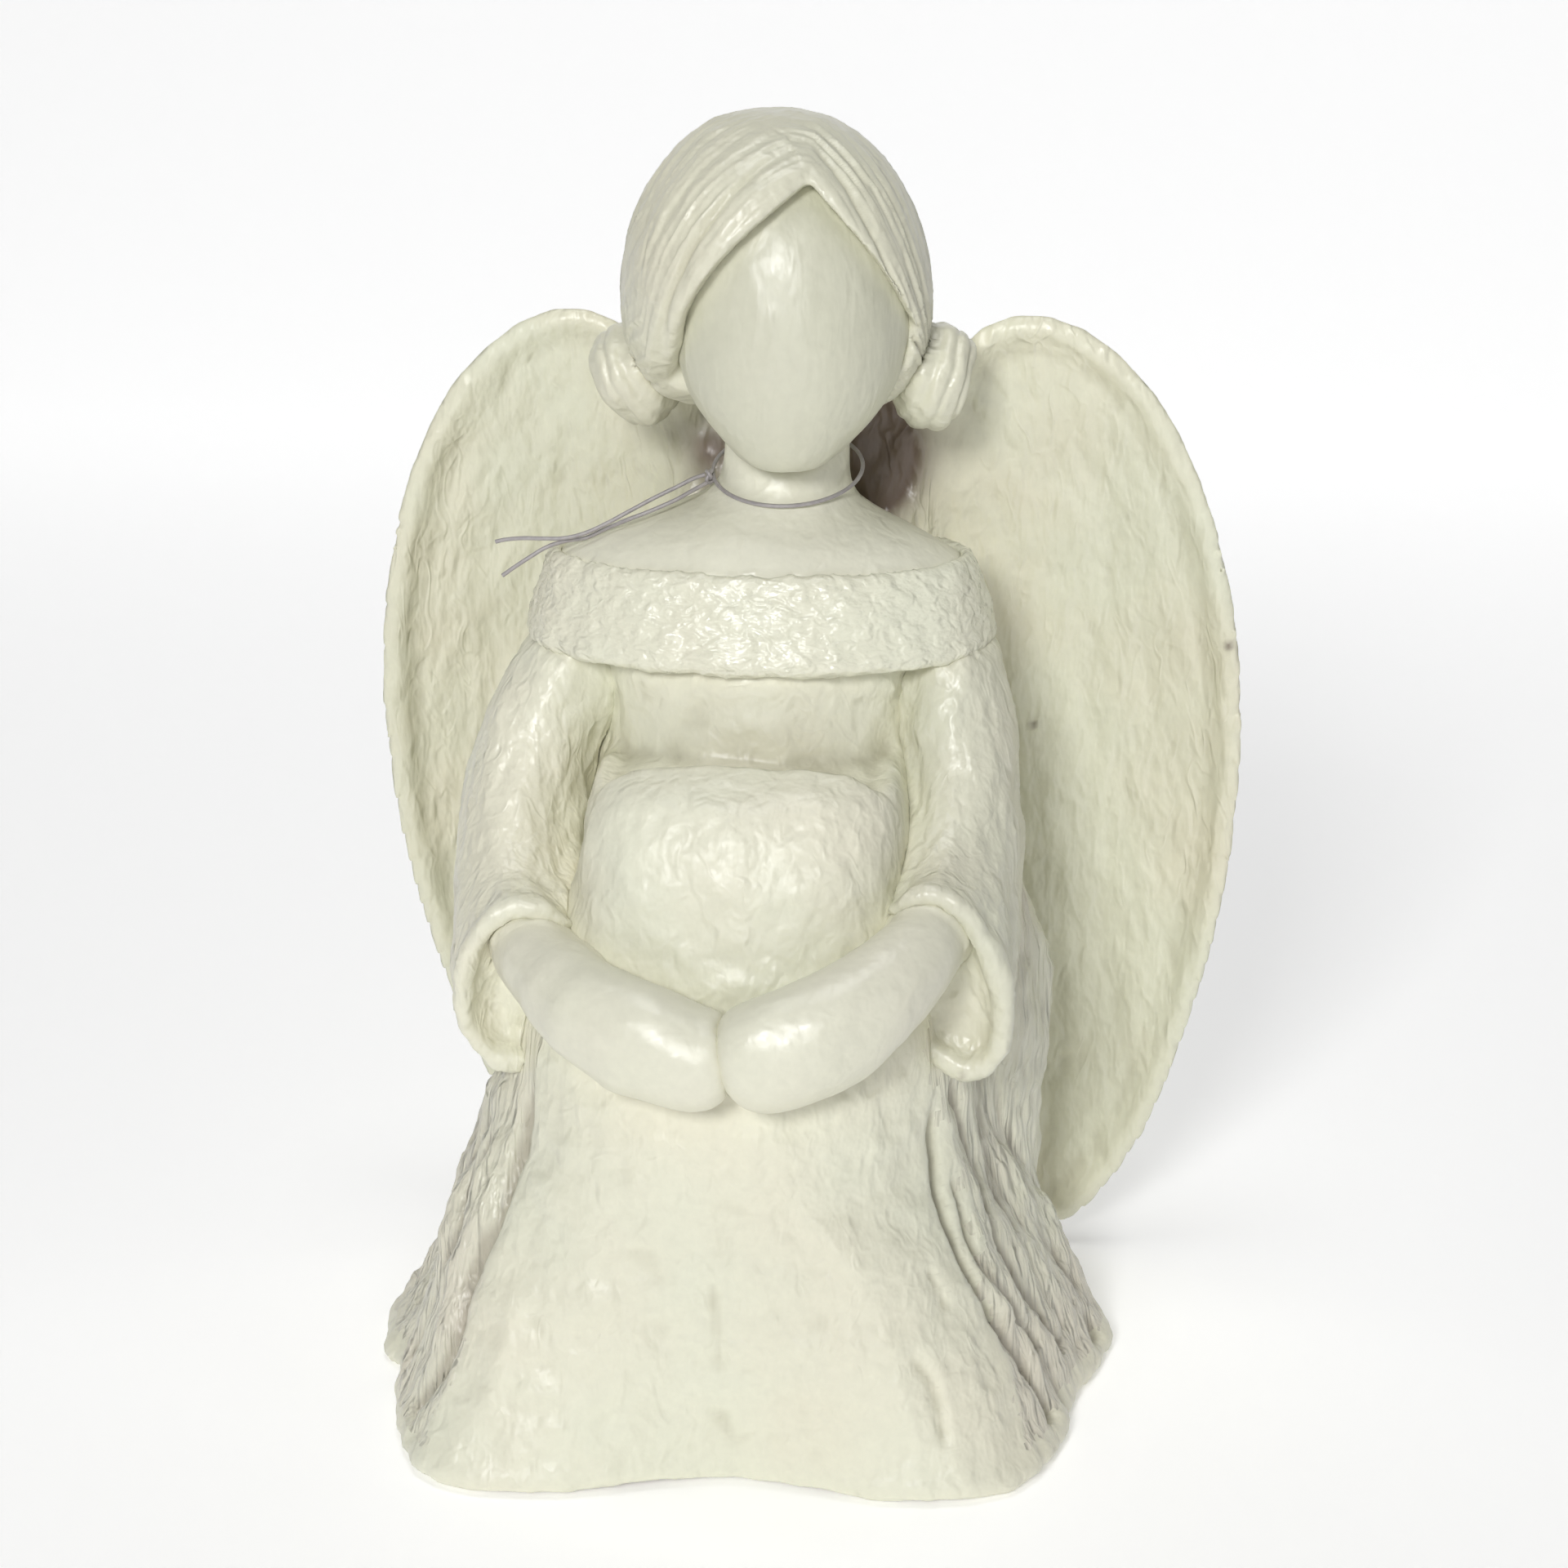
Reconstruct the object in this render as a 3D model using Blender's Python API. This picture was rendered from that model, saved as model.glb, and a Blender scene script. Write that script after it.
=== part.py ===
"""Seated angel figurine, cast in resin as separate mouldings that are pinned and glued together.

Front is -Y and up is +Z. Lengths in this script are millimetres: MM turns them into metres as each mesh is made.
The sculptor worked freehand, so the gown, arms and head each sit on their own centre line.
"""

import math

import bmesh
import bpy
from mathutils import Quaternion, Vector

MM = 0.001

# Driving dimensions
FIT = 0.35                 # glue line left between two mouldings
RING = 40                  # points round a large section
HEAD_RING = 32             # points round the head and the hair
LIMB_RING = 20             # points round an arm or a bun
HEM_Z = 0.3                # the hem hangs just clear of the floor, so that the felt pads carry the weight
GOWN_TOP_Z = 163.5         # flat seat under the shoulders
SHOULDER_Z = 167.3         # top edge of the collar
# The neckline from above: centre x, half width, front y, back y, squareness
SHOULDERS = (-4.4, 38.5, -22.5, 19.5, 2.0)
COLLAR_BOTTOM_Z = 149.8
COLLAR_DROOP = 2.0         # how much lower the band hangs in front
FACE_X = 2.3               # centre line of the face
HAIR_X = -1.3              # centre line of the hair
NECK_X = 0.6               # centre line of the neck
NECK_R = 11.9
WALL = 5.0                 # wall of the hollow gown
PLATE_T = 3.0              # closing plate under the gown
PAD_T = 1.0
PAD_R = 7.0
THREAD_D = 0.8
STEEL_PIN_R = 2.0
THIN_PIN_R = 1.25
NECK_PIN_R = 3.0

# Material colours, linear RGB, with roughness and metallic
PAINTED_RESIN = ("painted_resin", (0.66, 0.65, 0.53), 0.38, 0.0)
PIN_STEEL = ("pin_steel", (0.55, 0.55, 0.56), 0.35, 1.0)
FIBREBOARD = ("fibreboard", (0.30, 0.20, 0.11), 0.8, 0.0)
FELT = ("felt", (0.12, 0.12, 0.11), 0.95, 0.0)
NYLON = ("nylon_thread", (0.42, 0.41, 0.45), 0.3, 0.0)

# Outline of the hem on the floor, anticlockwise from above: broad lobes over the feet, a pointed fold each side
HEM = [
    (-2, -66), (15, -69), (35, -71), (48.5, -66), (57, -57), (60.5, -45), (61.5, -30), (64, -17),
    (69.5, -4), (65, 12), (53, 27), (34, 38), (10, 43), (-15, 43), (-38, 38), (-58, 26), (-72, 10),
    (-80, -5), (-82, -17), (-75.5, -31), (-73, -42), (-69.5, -55), (-66, -66), (-58, -74), (-46, -77),
    (-31, -75), (-16, -70.5),
]

# Sections up the skirt and over the knees: height, centre x, half width, front y, back y, squareness
SKIRT = [
    (60, -7.5, 47.5, -65, 34, 2.4), (80, -5.5, 43, -61.5, 31, 2.6), (98, -4.8, 37, -58, 28, 2.8),
    (111, -4, 31.5, -56, 24, 3.2), (121, -3.6, 30.8, -54, 22, 3.2), (127.5, -3.6, 29.6, -51, 20, 3.2),
    (131.5, -3.8, 27, -46, 16, 3.0), (133.6, -4, 22, -38, 8, 2.6), (134, -4, 16, -30, 4, 2.4),
]
# The seated body behind the knees: wide at the hips, narrow at the waist, then out to the shoulders
TORSO = [
    (6, -4, 52, -18, 36, 2.1), (28, -2, 53, -20, 37, 2.1), (50, -1, 53, -22, 37, 2.1),
    (68, -1, 54, -24, 36, 2.1), (84, -1, 53, -25, 34.5, 2.1), (98, -1.5, 49.5, -26, 32, 2.1),
    (110, -2, 44, -25.5, 29.5, 2.1), (122, -3, 36.5, -24.5, 27, 2.1), (133, -3.8, 30.5, -25.5, 24.5, 2.1),
    (143, -4, 30.5, -26.5, 23, 2.2), (152, -4.2, 34.5, -25.5, 21.5, 2.1),
    (GOWN_TOP_Z, *SHOULDERS),
]
# The hollow inside, wide under the skirt and closing towards the knees
HOLLOW = [
    (60, -7.5, 47.5 - WALL, -65 + WALL, 34 - WALL, 2.4), (84, -5.5, 41 - WALL, -60 + WALL, 22 - WALL, 2.6),
    (100, -4, 36 - WALL, -57 + WALL, 4, 2.8), (114, -2.5, 31 - WALL, -55 + WALL, -10, 3.0),
    (124, -2, 24 - WALL, -49 + WALL, -24, 2.6),
]
HEAD = [
    (183, FACE_X, 5, -21.5, -12, 2), (185, FACE_X, 9, -23.5, -6.5, 2), (189, FACE_X, 12.8, -25.3, 0, 2),
    (195, FACE_X, 17.2, -27, 8, 2), (203, FACE_X, 20.8, -28, 14.5, 2.1), (212, FACE_X, 22.3, -28.2, 18.5, 2.1),
    (222, FACE_X - 0.8, 22.3, -27, 19.5, 2.1), (231, FACE_X - 1.5, 20, -24, 17.5, 2),
    (239, FACE_X - 2, 14.5, -17.5, 12, 2), (243, FACE_X - 2.3, 8, -10, 5, 2),
]
HAIR = [
    (193, HAIR_X, 17, -6, 17.5, 2), (196, HAIR_X, 23, -15, 21.5, 2), (201, HAIR_X, 26.6, -22, 24.5, 2),
    (208, HAIR_X, 29, -28, 26.5, 2), (217, HAIR_X, 29.3, -30.5, 27, 2.1), (227, HAIR_X, 27.4, -30.4, 25.5, 2.1),
    (236.5, HAIR_X, 23.2, -26.5, 21.5, 2.1), (243.5, HAIR_X - 0.2, 17.6, -20, 16, 2),
    (247.8, HAIR_X - 0.3, 11, -12.5, 10, 2), (249.4, HAIR_X - 0.4, 5, -6, 4, 2),
]
# Shoulders and neck: the flat rim, the slope of the chest, then the neck
BUST = [
    (GOWN_TOP_Z + FIT, *SHOULDERS), (166, *SHOULDERS),
    (170, -3.6, 30.5, -19.5, 17.5, 2), (173.5, -2.3, 21.5, -16.2, 15.6, 2), (176.5, -0.8, 15, -13.4, 14, 2),
    (180, 0.3, NECK_R + 0.3, -11.4, 13, 2), (186, NECK_X, NECK_R - 0.2, -10.8, 12.4, 2),
    (196, NECK_X, NECK_R, -10, 12.4, 2),
]

# Hairline as x and z: down each side of the face from the parting
HAIRLINE_RIGHT = [
    (7.2, 238.6), (0, 232.8), (-7.4, 226), (-13.5, 218.4), (-18.8, 209.6), (-22.4, 201), (-24, 192),
]
HAIRLINE_LEFT = [
    (7.2, 238.6), (13.4, 232), (19.2, 225), (23.6, 217.2), (26.6, 209.4), (28.6, 201), (29.6, 192),
]
FACE_OPENING_BACK_Y = -9

# Sleeves: centre of the section, its half size across and up, the way it faces, and how far it leans in degrees
SLEEVE_LEFT = [
    (29.5, -1, 158, 7, 10, (0.25, 0, -1), 0), (32.3, -4, 147, 10, 13, (0.25, -0.15, -1), 0),
    (35.6, -9, 132, 10.4, 14, (0.12, -0.3, -1), 2), (37, -15, 117, 10.4, 15.5, (0, -0.5, -1), 5),
    (37, -23, 106, 10.6, 17.5, (0, -0.9, -0.8), 8), (37, -33, 99, 10.8, 19, (-0.05, -1, -0.45), 11),
    (36.6, -43, 96, 11, 20.3, (-0.1, -1, -0.25), 14), (36.4, -47, 95, 10.8, 20.3, (-0.1, -1, -0.2), 14),
]
SLEEVE_RIGHT = [
    (-36, -1, 158, 7, 10, (-0.25, 0, -1), 0), (-38.5, -4, 147, 10.4, 13, (-0.4, -0.15, -1), 0),
    (-46.5, -9, 132, 11, 14, (-0.25, -0.3, -1), -2), (-49.5, -15, 117, 11.4, 15, (-0.15, -0.5, -1), -4),
    (-49.5, -23, 104.5, 11.5, 16, (0.05, -0.9, -0.8), -6), (-47.8, -33, 96, 11.6, 17.2, (0.15, -1, -0.45), -8),
    (-45.6, -43, 92, 11.6, 18.4, (0.2, -1, -0.25), -9), (-45, -47, 91, 11.4, 18.4, (0.2, -1, -0.2), -9),
]
CUFF_WALL = 2.4
CUFF_DEPTH = 5

# Forearms, from inside the cuff to the rounded fingertips: centre, half thickness front to back, half height
FOREARM_LEFT = [
    (31.5, -34, 101.5, 6.6, 7), (32.5, -40, 103, 6.9, 7.2), (32.5, -47, 104, 7.2, 7.6),
    (30.4, -53, 102.8, 7.5, 8), (26.6, -59, 99.6, 8, 8.8), (21, -64.2, 95.9, 8.6, 9.8),
    (14.2, -68, 92.4, 9, 10.8), (6, -70, 89.6, 8.8, 10.6), (0.5, -70.4, 88, 7.4, 9.2),
    (-1.6, -70.4, 87.4, 5, 6.4), (-2.4, -70.4, 87.2, 2.4, 3),
]
FOREARM_RIGHT = [
    (-43.5, -34, 95.5, 6.6, 7), (-43, -40, 97, 6.9, 7.1), (-41.9, -47, 98.1, 7.1, 7.4),
    (-36.7, -54, 96.9, 7.5, 7.9), (-29, -62, 93.9, 8.4, 9.3), (-18.5, -67, 90.2, 8.8, 10.6),
    (-9.1, -69, 88, 8.8, 9.8), (-3.5, -69.6, 87, 7.6, 8.6), (-1, -69.6, 86.6, 5, 6),
]

# Outline of the left wing as x and z, from its root up over the top, down the outer edge to the tip and back up
WING = [
    (12, 160), (20, 182), (31, 201), (42.5, 208.6), (56, 206), (70, 194), (79.5, 177), (85.5, 158),
    (89, 138), (89.8, 114), (87.5, 86), (81.5, 57), (73.5, 31), (63, 12), (54, 5), (44, 9), (29, 30),
    (16, 62), (11, 98), (10.5, 134),
]
WING_HEART = (48, 118)     # deepest point of the dish
WING_Y = 22                # the upper half stands upright here
WING_SWEEP = 25            # how far behind that the tip reaches
WING_BEND_Z = 175
WING_ROOT_PULL = 5         # the inner edge curls in towards the back of the gown
WING_ROOT_X = 35
WING_DISH = 13
WING_T = 4.2
WING_RIM_T = 3.4
WING_RIGHT_TURN = math.radians(1.8)   # the right wing hangs closer to the body, turned about its top
WING_TOP = (42, 205)
# Root of a wing: a boss seated on the back of the gown, which rises as a web behind the neck
WING_BOSS = [
    (60, 16, 5, 26, 36.5, 2), (82, 17, 8, 20, 35, 2), (110, 16.5, 9, 12, 31.5, 2), (138, 15.5, 9, 8, 28, 2),
    (156, 13, 10, 17, 29.5, 2.2), (172, 12, 11.2, 22, 30.5, 2.6), (186, 13, 12, 23, 30, 2.6),
    (195, 17, 10, 23.5, 28.5, 2.4),
]

# The thread round the neck: its loop, and the two ends that hang over the shoulder
LOOP_CENTRE = (0.6, 1.2)
LOOP_RX = 14.4
LOOP_RY = 15.4
LOOP_Z = 182
LOOP_TILT = 4.4            # the loop lies low on the chest and rides up at the nape
KNOT_ANGLE = math.radians(196)
KNOT_R = 1.5
TAIL_UPPER = [
    (-14.8, -3.9, 181.2), (-17, -4.6, 180.5), (-20, -5.4, 179), (-24.5, -6.2, 176.8), (-29, -7.2, 174.4),
    (-33.5, -8.2, 172), (-37.5, -8.8, 170.2), (-41.5, -9, 169.2), (-45.5, -8.9, 169), (-49.5, -8.6, 168.9),
    (-53, -8.4, 168.5), (-55, -8.4, 168),
]
TAIL_LOWER = [
    (-14.4, -4.3, 179.7), (-17, -5.8, 178.4), (-20, -7, 176.8), (-24.5, -7.8, 174.8), (-29, -8.2, 173),
    (-33.5, -7.2, 170.9), (-37.5, -7.2, 169), (-41.5, -8, 168.4), (-45, -9, 167.3), (-48.5, -9.8, 165.2),
    (-51.5, -10.2, 163.2), (-53.4, -10.3, 161.8),
]

# Bun centres, the way each outer face looks, and its size
BUN_LEFT = ((28.2, 7.5, 199.2), (0.82, 0.2, -0.3))
BUN_RIGHT = ((-29.8, 7.5, 198.6), (-0.82, 0.2, -0.42))
BUN_R = 10.4
BUN_T = 11.5

WING_PINS = {"upper": ((14, 8, 140), (14, 25, 140)), "lower": ((14, 14, 104), (14, 30, 104))}
PAD_PLACES = [(-44, -52), (34, -50), (-40, 20), (30, 20)]


def clear_scene():
    for obj in list(bpy.data.objects):
        bpy.data.objects.remove(obj, do_unlink=True)


def material(spec):
    """The material for a (name, colour, roughness, metallic) entry, made once."""
    name, colour, roughness, metallic = spec
    found = bpy.data.materials.get(name)
    if found:
        return found
    made = bpy.data.materials.new(name)
    made.use_nodes = True
    shader = made.node_tree.nodes["Principled BSDF"]
    shader.inputs["Base Color"].default_value = (*colour, 1)
    shader.inputs["Roughness"].default_value = roughness
    shader.inputs["Metallic"].default_value = metallic
    return made


def finish_mesh(name, bm, finish):
    """Turns a bmesh in millimetres into an object in metres, faces outwards and round faces smooth."""
    bmesh.ops.remove_doubles(bm, verts=bm.verts, dist=0.001)
    bmesh.ops.recalc_face_normals(bm, faces=bm.faces)
    bmesh.ops.scale(bm, vec=(MM, MM, MM), verts=bm.verts)
    mesh = bpy.data.meshes.new(name)
    bm.to_mesh(mesh)
    bm.free()
    mesh.shade_smooth()
    mesh.set_sharp_from_angle(angle=math.radians(40))
    obj = bpy.data.objects.new(name, mesh)
    bpy.context.scene.collection.objects.link(obj)
    if finish:
        obj.data.materials.append(material(finish))
    return obj


def helper(obj):
    """Marks an object as a cutter or a guide, which is never part of the figurine."""
    obj.hide_render = True
    obj.display_type = "WIRE"
    return obj


def loft(name, rings, finish=None):
    """A closed skin over rings of equally many points, flat at both ends."""
    bm = bmesh.new()
    rows = [[bm.verts.new(p) for p in ring] for ring in rings]
    count = len(rows[0])
    for low, high in zip(rows, rows[1:]):
        for i in range(count):
            j = (i + 1) % count
            bm.faces.new((low[i], low[j], high[j], high[i]))
    bm.faces.new(reversed(rows[0]))
    bm.faces.new(rows[-1])
    return finish_mesh(name, bm, finish)


def curve_point(points, place, closed):
    """The point at a place, counted in control points, on a smooth Catmull-Rom curve."""
    count = len(points)
    span = min(int(place), count - 1 if closed else count - 2)
    t = place - span

    def at(i):
        return Vector(points[i % count] if closed else points[max(0, min(count - 1, i))])

    a, b, c, d = (at(span + k) for k in (-1, 0, 1, 2))
    return 0.5 * (2 * b + (c - a) * t + (2 * a - 5 * b + 4 * c - d) * t * t + (3 * b - a - 3 * c + d) * t ** 3)


def closed_curve(points, count):
    return [curve_point(points, len(points) * i / count, True) for i in range(count)]


def open_curve(points, count):
    return [curve_point(points, (len(points) - 1) * i / (count - 1), False) for i in range(count)]


def stations(table, per_gap):
    """The rows of a section table with smooth rows put in between them."""
    return open_curve([tuple(row) for row in table], (len(table) - 1) * per_gap + 1)


def section(row, count=RING):
    """One horizontal section: a squared ellipse whose front and back halves differ in depth."""
    z, centre_x, half_width, front_y, back_y, squareness = row
    middle_y = (front_y + back_y) / 2
    half_depth = (back_y - front_y) / 2
    ring = []
    for i in range(count):
        angle = -math.pi / 2 + 2 * math.pi * i / count
        c, s = math.cos(angle), math.sin(angle)
        x = centre_x + half_width * math.copysign(abs(c) ** (2 / squareness), c)
        y = middle_y + half_depth * math.copysign(abs(s) ** (2 / squareness), s)
        ring.append(Vector((x, y, z)))
    return ring


def hem_ring(inset, z):
    """The floor outline, pulled in all round by inset."""
    ring = [Vector((p.x, p.y, z)) for p in closed_curve([(x, y, 0) for x, y in HEM], RING)]
    middle = Vector((-6, -16, z))
    return [p - (p - middle).normalized() * inset for p in ring]


def skirt_rings(upper_table, inset, bottom_z):
    """Rings from the hem to the first section above it, where the folds die out, then on up the table."""
    upper = [section(row) for row in stations(upper_table, 2)]
    hem = hem_ring(inset, bottom_z)
    between = 4
    rings = []
    for k in range(between):
        share = k / between
        rings.append([a.lerp(b, share) for a, b in zip(hem, upper[0])])
    return rings + upper


def grown(source, by=FIT):
    """A hidden copy of a mesh, swollen by the glue line, that cuts its neighbours."""
    bm = bmesh.new()
    bm.from_mesh(source.data)
    bm.normal_update()
    moves = [v.normal.copy() for v in bm.verts]
    for vert, normal in zip(bm.verts, moves):
        vert.co += normal * by * MM
    mesh = bpy.data.meshes.new(source.name + "_clearance")
    bm.to_mesh(mesh)
    bm.free()
    obj = bpy.data.objects.new(mesh.name, mesh)
    bpy.context.scene.collection.objects.link(obj)
    return helper(obj)


def boolean(target, operation, *others):
    for other in others:
        step = target.modifiers.new(f"{operation.lower()}_{other.name}", "BOOLEAN")
        step.operation = operation
        step.object = other


def cut(target, *cutters):
    boolean(target, "DIFFERENCE", *cutters)


def cylinder(name, radius, start, end, finish=None, segments=14):
    """A round rod between two points."""
    start, end = Vector(start), Vector(end)
    turn = (end - start).to_track_quat("Z", "Y")
    circle = [
        Vector((radius * math.cos(a), radius * math.sin(a), 0))
        for a in (2 * math.pi * i / segments for i in range(segments))
    ]
    return loft(name, [[base + turn @ p for p in circle] for base in (start, end)], finish)


def pinned(name, radius, start, end, *mouldings):
    """A steel dowel, and the blind hole for it in each moulding that it joins."""
    pin = cylinder(name, radius, start, end, PIN_STEEL)
    along = (Vector(end) - Vector(start)).normalized() * FIT
    hole = helper(cylinder(name + "_hole", radius + FIT, Vector(start) - along, Vector(end) + along))
    for moulding in mouldings:
        cut(moulding, hole)
    return pin


def gown():
    """Skirt, knees and bodice as one hollow casting, open underneath. Returns it with the shape that clears it."""
    body = loft("gown", skirt_rings(SKIRT, 0, HEM_Z), PAINTED_RESIN)
    torso = helper(loft("bodice_volume", [section(row) for row in TORSO]))
    clearance = grown(body)
    boolean(clearance, "UNION", grown(torso))
    boolean(body, "UNION", torso)
    hollow = helper(loft("gown_hollow", skirt_rings(HOLLOW, WALL + 2.5, -1)))
    recess = helper(loft("plate_recess", [hem_ring(WALL - 0.5, -1), hem_ring(WALL - 0.5, PAD_T + FIT + PLATE_T + FIT)]))
    cut(body, hollow, recess)
    return body, clearance


def base_plate():
    low = PAD_T + FIT
    return loft("base_plate", [hem_ring(WALL - 0.5 + FIT, z) for z in (low, low + PLATE_T)], FIBREBOARD)


def felt_pads():
    names = ("felt_pad_front_right", "felt_pad_front_left", "felt_pad_rear_right", "felt_pad_rear_left")
    return [cylinder(name, PAD_R, (x, y, 0), (x, y, PAD_T), FELT, 24) for name, (x, y) in zip(names, PAD_PLACES)]


def collar():
    """Folded-down band of the neckline: a wedge section carried round the shoulders, drooping a little in front."""
    profile = [
        (FIT, 156), (FIT, SHOULDER_Z - 0.8), (1.2, SHOULDER_Z), (2.6, SHOULDER_Z - 1.2), (4.6, 160.5), (6.6, 155),
        (7.6, 151.6), (6.8, COLLAR_BOTTOM_Z), (4.2, COLLAR_BOTTOM_Z + 0.4), (1.6, 152.4),
    ]
    rim = section((0, *SHOULDERS))
    bm = bmesh.new()
    rows = []
    for before, here, after in zip(rim[-1:] + rim[:-1], rim, rim[1:] + rim[:1]):
        along = (after - before).normalized()
        outward = Vector((along.y, -along.x, 0))
        droop = COLLAR_DROOP * max(0.0, -outward.y)
        places = [here + outward * out + Vector((0, 0, z - droop * (1 if z < 160 else 0.3))) for out, z in profile]
        rows.append([bm.verts.new(place) for place in places])
    for a, b in zip(rows, rows[1:] + rows[:1]):
        for k in range(len(profile)):
            m = (k + 1) % len(profile)
            bm.faces.new((a[k], b[k], b[m], a[m]))
    return finish_mesh("collar", bm, PAINTED_RESIN)


def limb_ring(centre, facing, half_x, half_y, lean):
    """An ellipse round a centre, square to the way the limb runs. half_x lies nearest to the X axis."""
    along = Vector(facing).normalized()
    side = (Vector((1, 0, 0)) - along * along.x).normalized()
    up = along.cross(side)
    turn = Quaternion(along, math.radians(lean))
    side, up = turn @ side, turn @ up
    steps = (2 * math.pi * i / LIMB_RING for i in range(LIMB_RING))
    return [Vector(centre) + side * half_x * math.cos(a) + up * half_y * math.sin(a) for a in steps]


def sleeve(name, rows):
    """Bell sleeve from under the collar to the open cuff."""
    flat = [(*row[:5], *row[5], row[6]) for row in rows]
    smooth = open_curve(flat, (len(rows) - 1) * 2 + 1)
    rings = [limb_ring(v[:3], v[5:8], v[3], v[4], v[8]) for v in smooth]
    return loft(name, rings, PAINTED_RESIN)


def cuff_hollow(name, row):
    """The space inside a cuff, narrowing as it goes in."""
    centre, facing = Vector(row[:3]), Vector(row[5]).normalized()
    rings = []
    for depth, shrink in ((-3, 0), (0, 0), (CUFF_DEPTH * 0.6, 1.2), (CUFF_DEPTH, 4.5)):
        half_x, half_y = row[3] - CUFF_WALL - shrink, row[4] - CUFF_WALL - shrink
        rings.append(limb_ring(centre - facing * depth, facing, half_x, half_y, row[6]))
    return helper(loft(name, rings))


def forearm(name, rows):
    """Bare forearm and mitten hand, with a rounded tip."""
    smooth = open_curve(rows, (len(rows) - 1) * 2 + 1)
    places = [Vector(v[:3]) for v in smooth]
    rings = []
    for i, (row, place) in enumerate(zip(smooth, places)):
        along = (places[min(i + 1, len(places) - 1)] - places[max(i - 1, 0)]).normalized()
        up = (Vector((0, 0, 1)) - along * along.z).normalized()
        across = up.cross(along)
        steps = (2 * math.pi * k / LIMB_RING for k in range(LIMB_RING))
        rings.append([place + across * row[3] * math.cos(a) + up * row[4] * math.sin(a) for a in steps])
    return loft(name, rings, PAINTED_RESIN)


def wing_plane(place):
    """Depth of a wing's rim: upright at the top, swept back towards the tip, curled in at the root."""
    sweep = WING_SWEEP * max(0.0, (WING_BEND_Z - place.z) / WING_BEND_Z) ** 1.6
    pull = WING_ROOT_PULL * max(0.0, 1 - abs(place.x) / WING_ROOT_X) ** 2
    return WING_Y + sweep - pull


def wing(name, side, lean):
    """A dished wing: the front skin sinks from a thick rim to the heart, and the back skin follows it."""
    rim = [Vector((side * p.x, 0, p.y)) for p in closed_curve(WING, RING)]
    heart = Vector((side * WING_HEART[0], 0, WING_HEART[1]))
    top = Vector((side * WING_TOP[0], 0, WING_TOP[1]))
    turn = Quaternion((0, 1, 0), side * lean)
    rim = [top + turn @ (p - top) for p in rim]
    heart = top + turn @ (heart - top)
    bm = bmesh.new()

    def skin(dish, rim_t, wall_t):
        rows = []
        for share in (1, 0.96, 0.86, 0.7, 0.5, 0.28):
            back = rim_t if share == 1 else wall_t
            flat = [heart.lerp(p, share) for p in rim]
            sunk = [Vector((0, wing_plane(p) + dish * (1 - share ** 2.6) + back, 0)) for p in flat]
            rows.append([bm.verts.new(p + depth) for p, depth in zip(flat, sunk)])
        centre = bm.verts.new(heart + Vector((0, wing_plane(heart) + dish + wall_t, 0)))
        for i in range(RING):
            j = (i + 1) % RING
            for outer, inner in zip(rows, rows[1:]):
                bm.faces.new((outer[i], outer[j], inner[j], inner[i]))
            bm.faces.new((rows[-1][i], rows[-1][j], centre))
        return rows[0]

    front = skin(WING_DISH, 0, 0)
    back = skin(WING_DISH * 0.94, WING_RIM_T, WING_T)
    for i in range(RING):
        j = (i + 1) % RING
        bm.faces.new((front[i], front[j], back[j], back[i]))
    blade = finish_mesh(name, bm, PAINTED_RESIN)
    boss_rows = [section((z, side * x, *rest), LIMB_RING) for z, x, *rest in WING_BOSS]
    boolean(blade, "UNION", helper(loft(name + "_boss", boss_rows)))
    return blade


def bun(name, centre, facing):
    """A coil of hair: a thick disc with a full round edge and a sunk outer face."""
    profile = [
        (0.5, -BUN_T / 2), (6.5, -BUN_T / 2), (9.2, -BUN_T * 0.36), (BUN_R, -BUN_T * 0.12),
        (BUN_R, BUN_T * 0.14), (9.0, BUN_T * 0.38), (6.6, BUN_T / 2), (4.0, BUN_T * 0.44), (1.2, BUN_T * 0.34),
    ]
    turn = Vector(facing).to_track_quat("Z", "Y")
    circle = [Vector((math.cos(a), math.sin(a), 0)) for a in (math.tau * i / LIMB_RING for i in range(LIMB_RING))]
    rings = [[Vector(centre) + turn @ (p * r + Vector((0, 0, h))) for p in circle] for r, h in profile]
    return loft(name, rings, PAINTED_RESIN)


def hair_cap(head_clearance, bust_clearance):
    """The hair as a shell that fits over the head, open over the face."""
    cap = loft("hair_cap", [section(row, HEAD_RING) for row in stations(HAIR, 2)], PAINTED_RESIN)
    down_right = open_curve(HAIRLINE_RIGHT, 15)
    up_left = open_curve(HAIRLINE_LEFT, 15)[:0:-1]
    under = [Vector((HAIRLINE_RIGHT[-1][0], 170)), Vector((HAIRLINE_LEFT[-1][0], 170))]
    outline = down_right + under + up_left
    ends = [[Vector((p.x, y, p.y)) for p in outline] for y in (-50, FACE_OPENING_BACK_Y)]
    opening = helper(loft("face_opening", ends))
    clearance = grown(cap)
    cut(cap, opening, head_clearance, bust_clearance)
    return cap, clearance


def thread(name, route, points):
    """A length of nylon thread laid along a smooth route."""
    curve = bpy.data.curves.new(name, "CURVE")
    curve.dimensions = "3D"
    curve.bevel_depth = THREAD_D / 2 * MM
    curve.bevel_resolution = 2
    curve.use_fill_caps = True
    line = curve.splines.new("POLY")
    smooth = open_curve(route, points)
    line.points.add(len(smooth) - 1)
    for point, place in zip(line.points, smooth):
        point.co = (*(place * MM), 1)
    obj = bpy.data.objects.new(name, curve)
    bpy.context.scene.collection.objects.link(obj)
    obj.data.materials.append(material(NYLON))
    return obj


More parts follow.
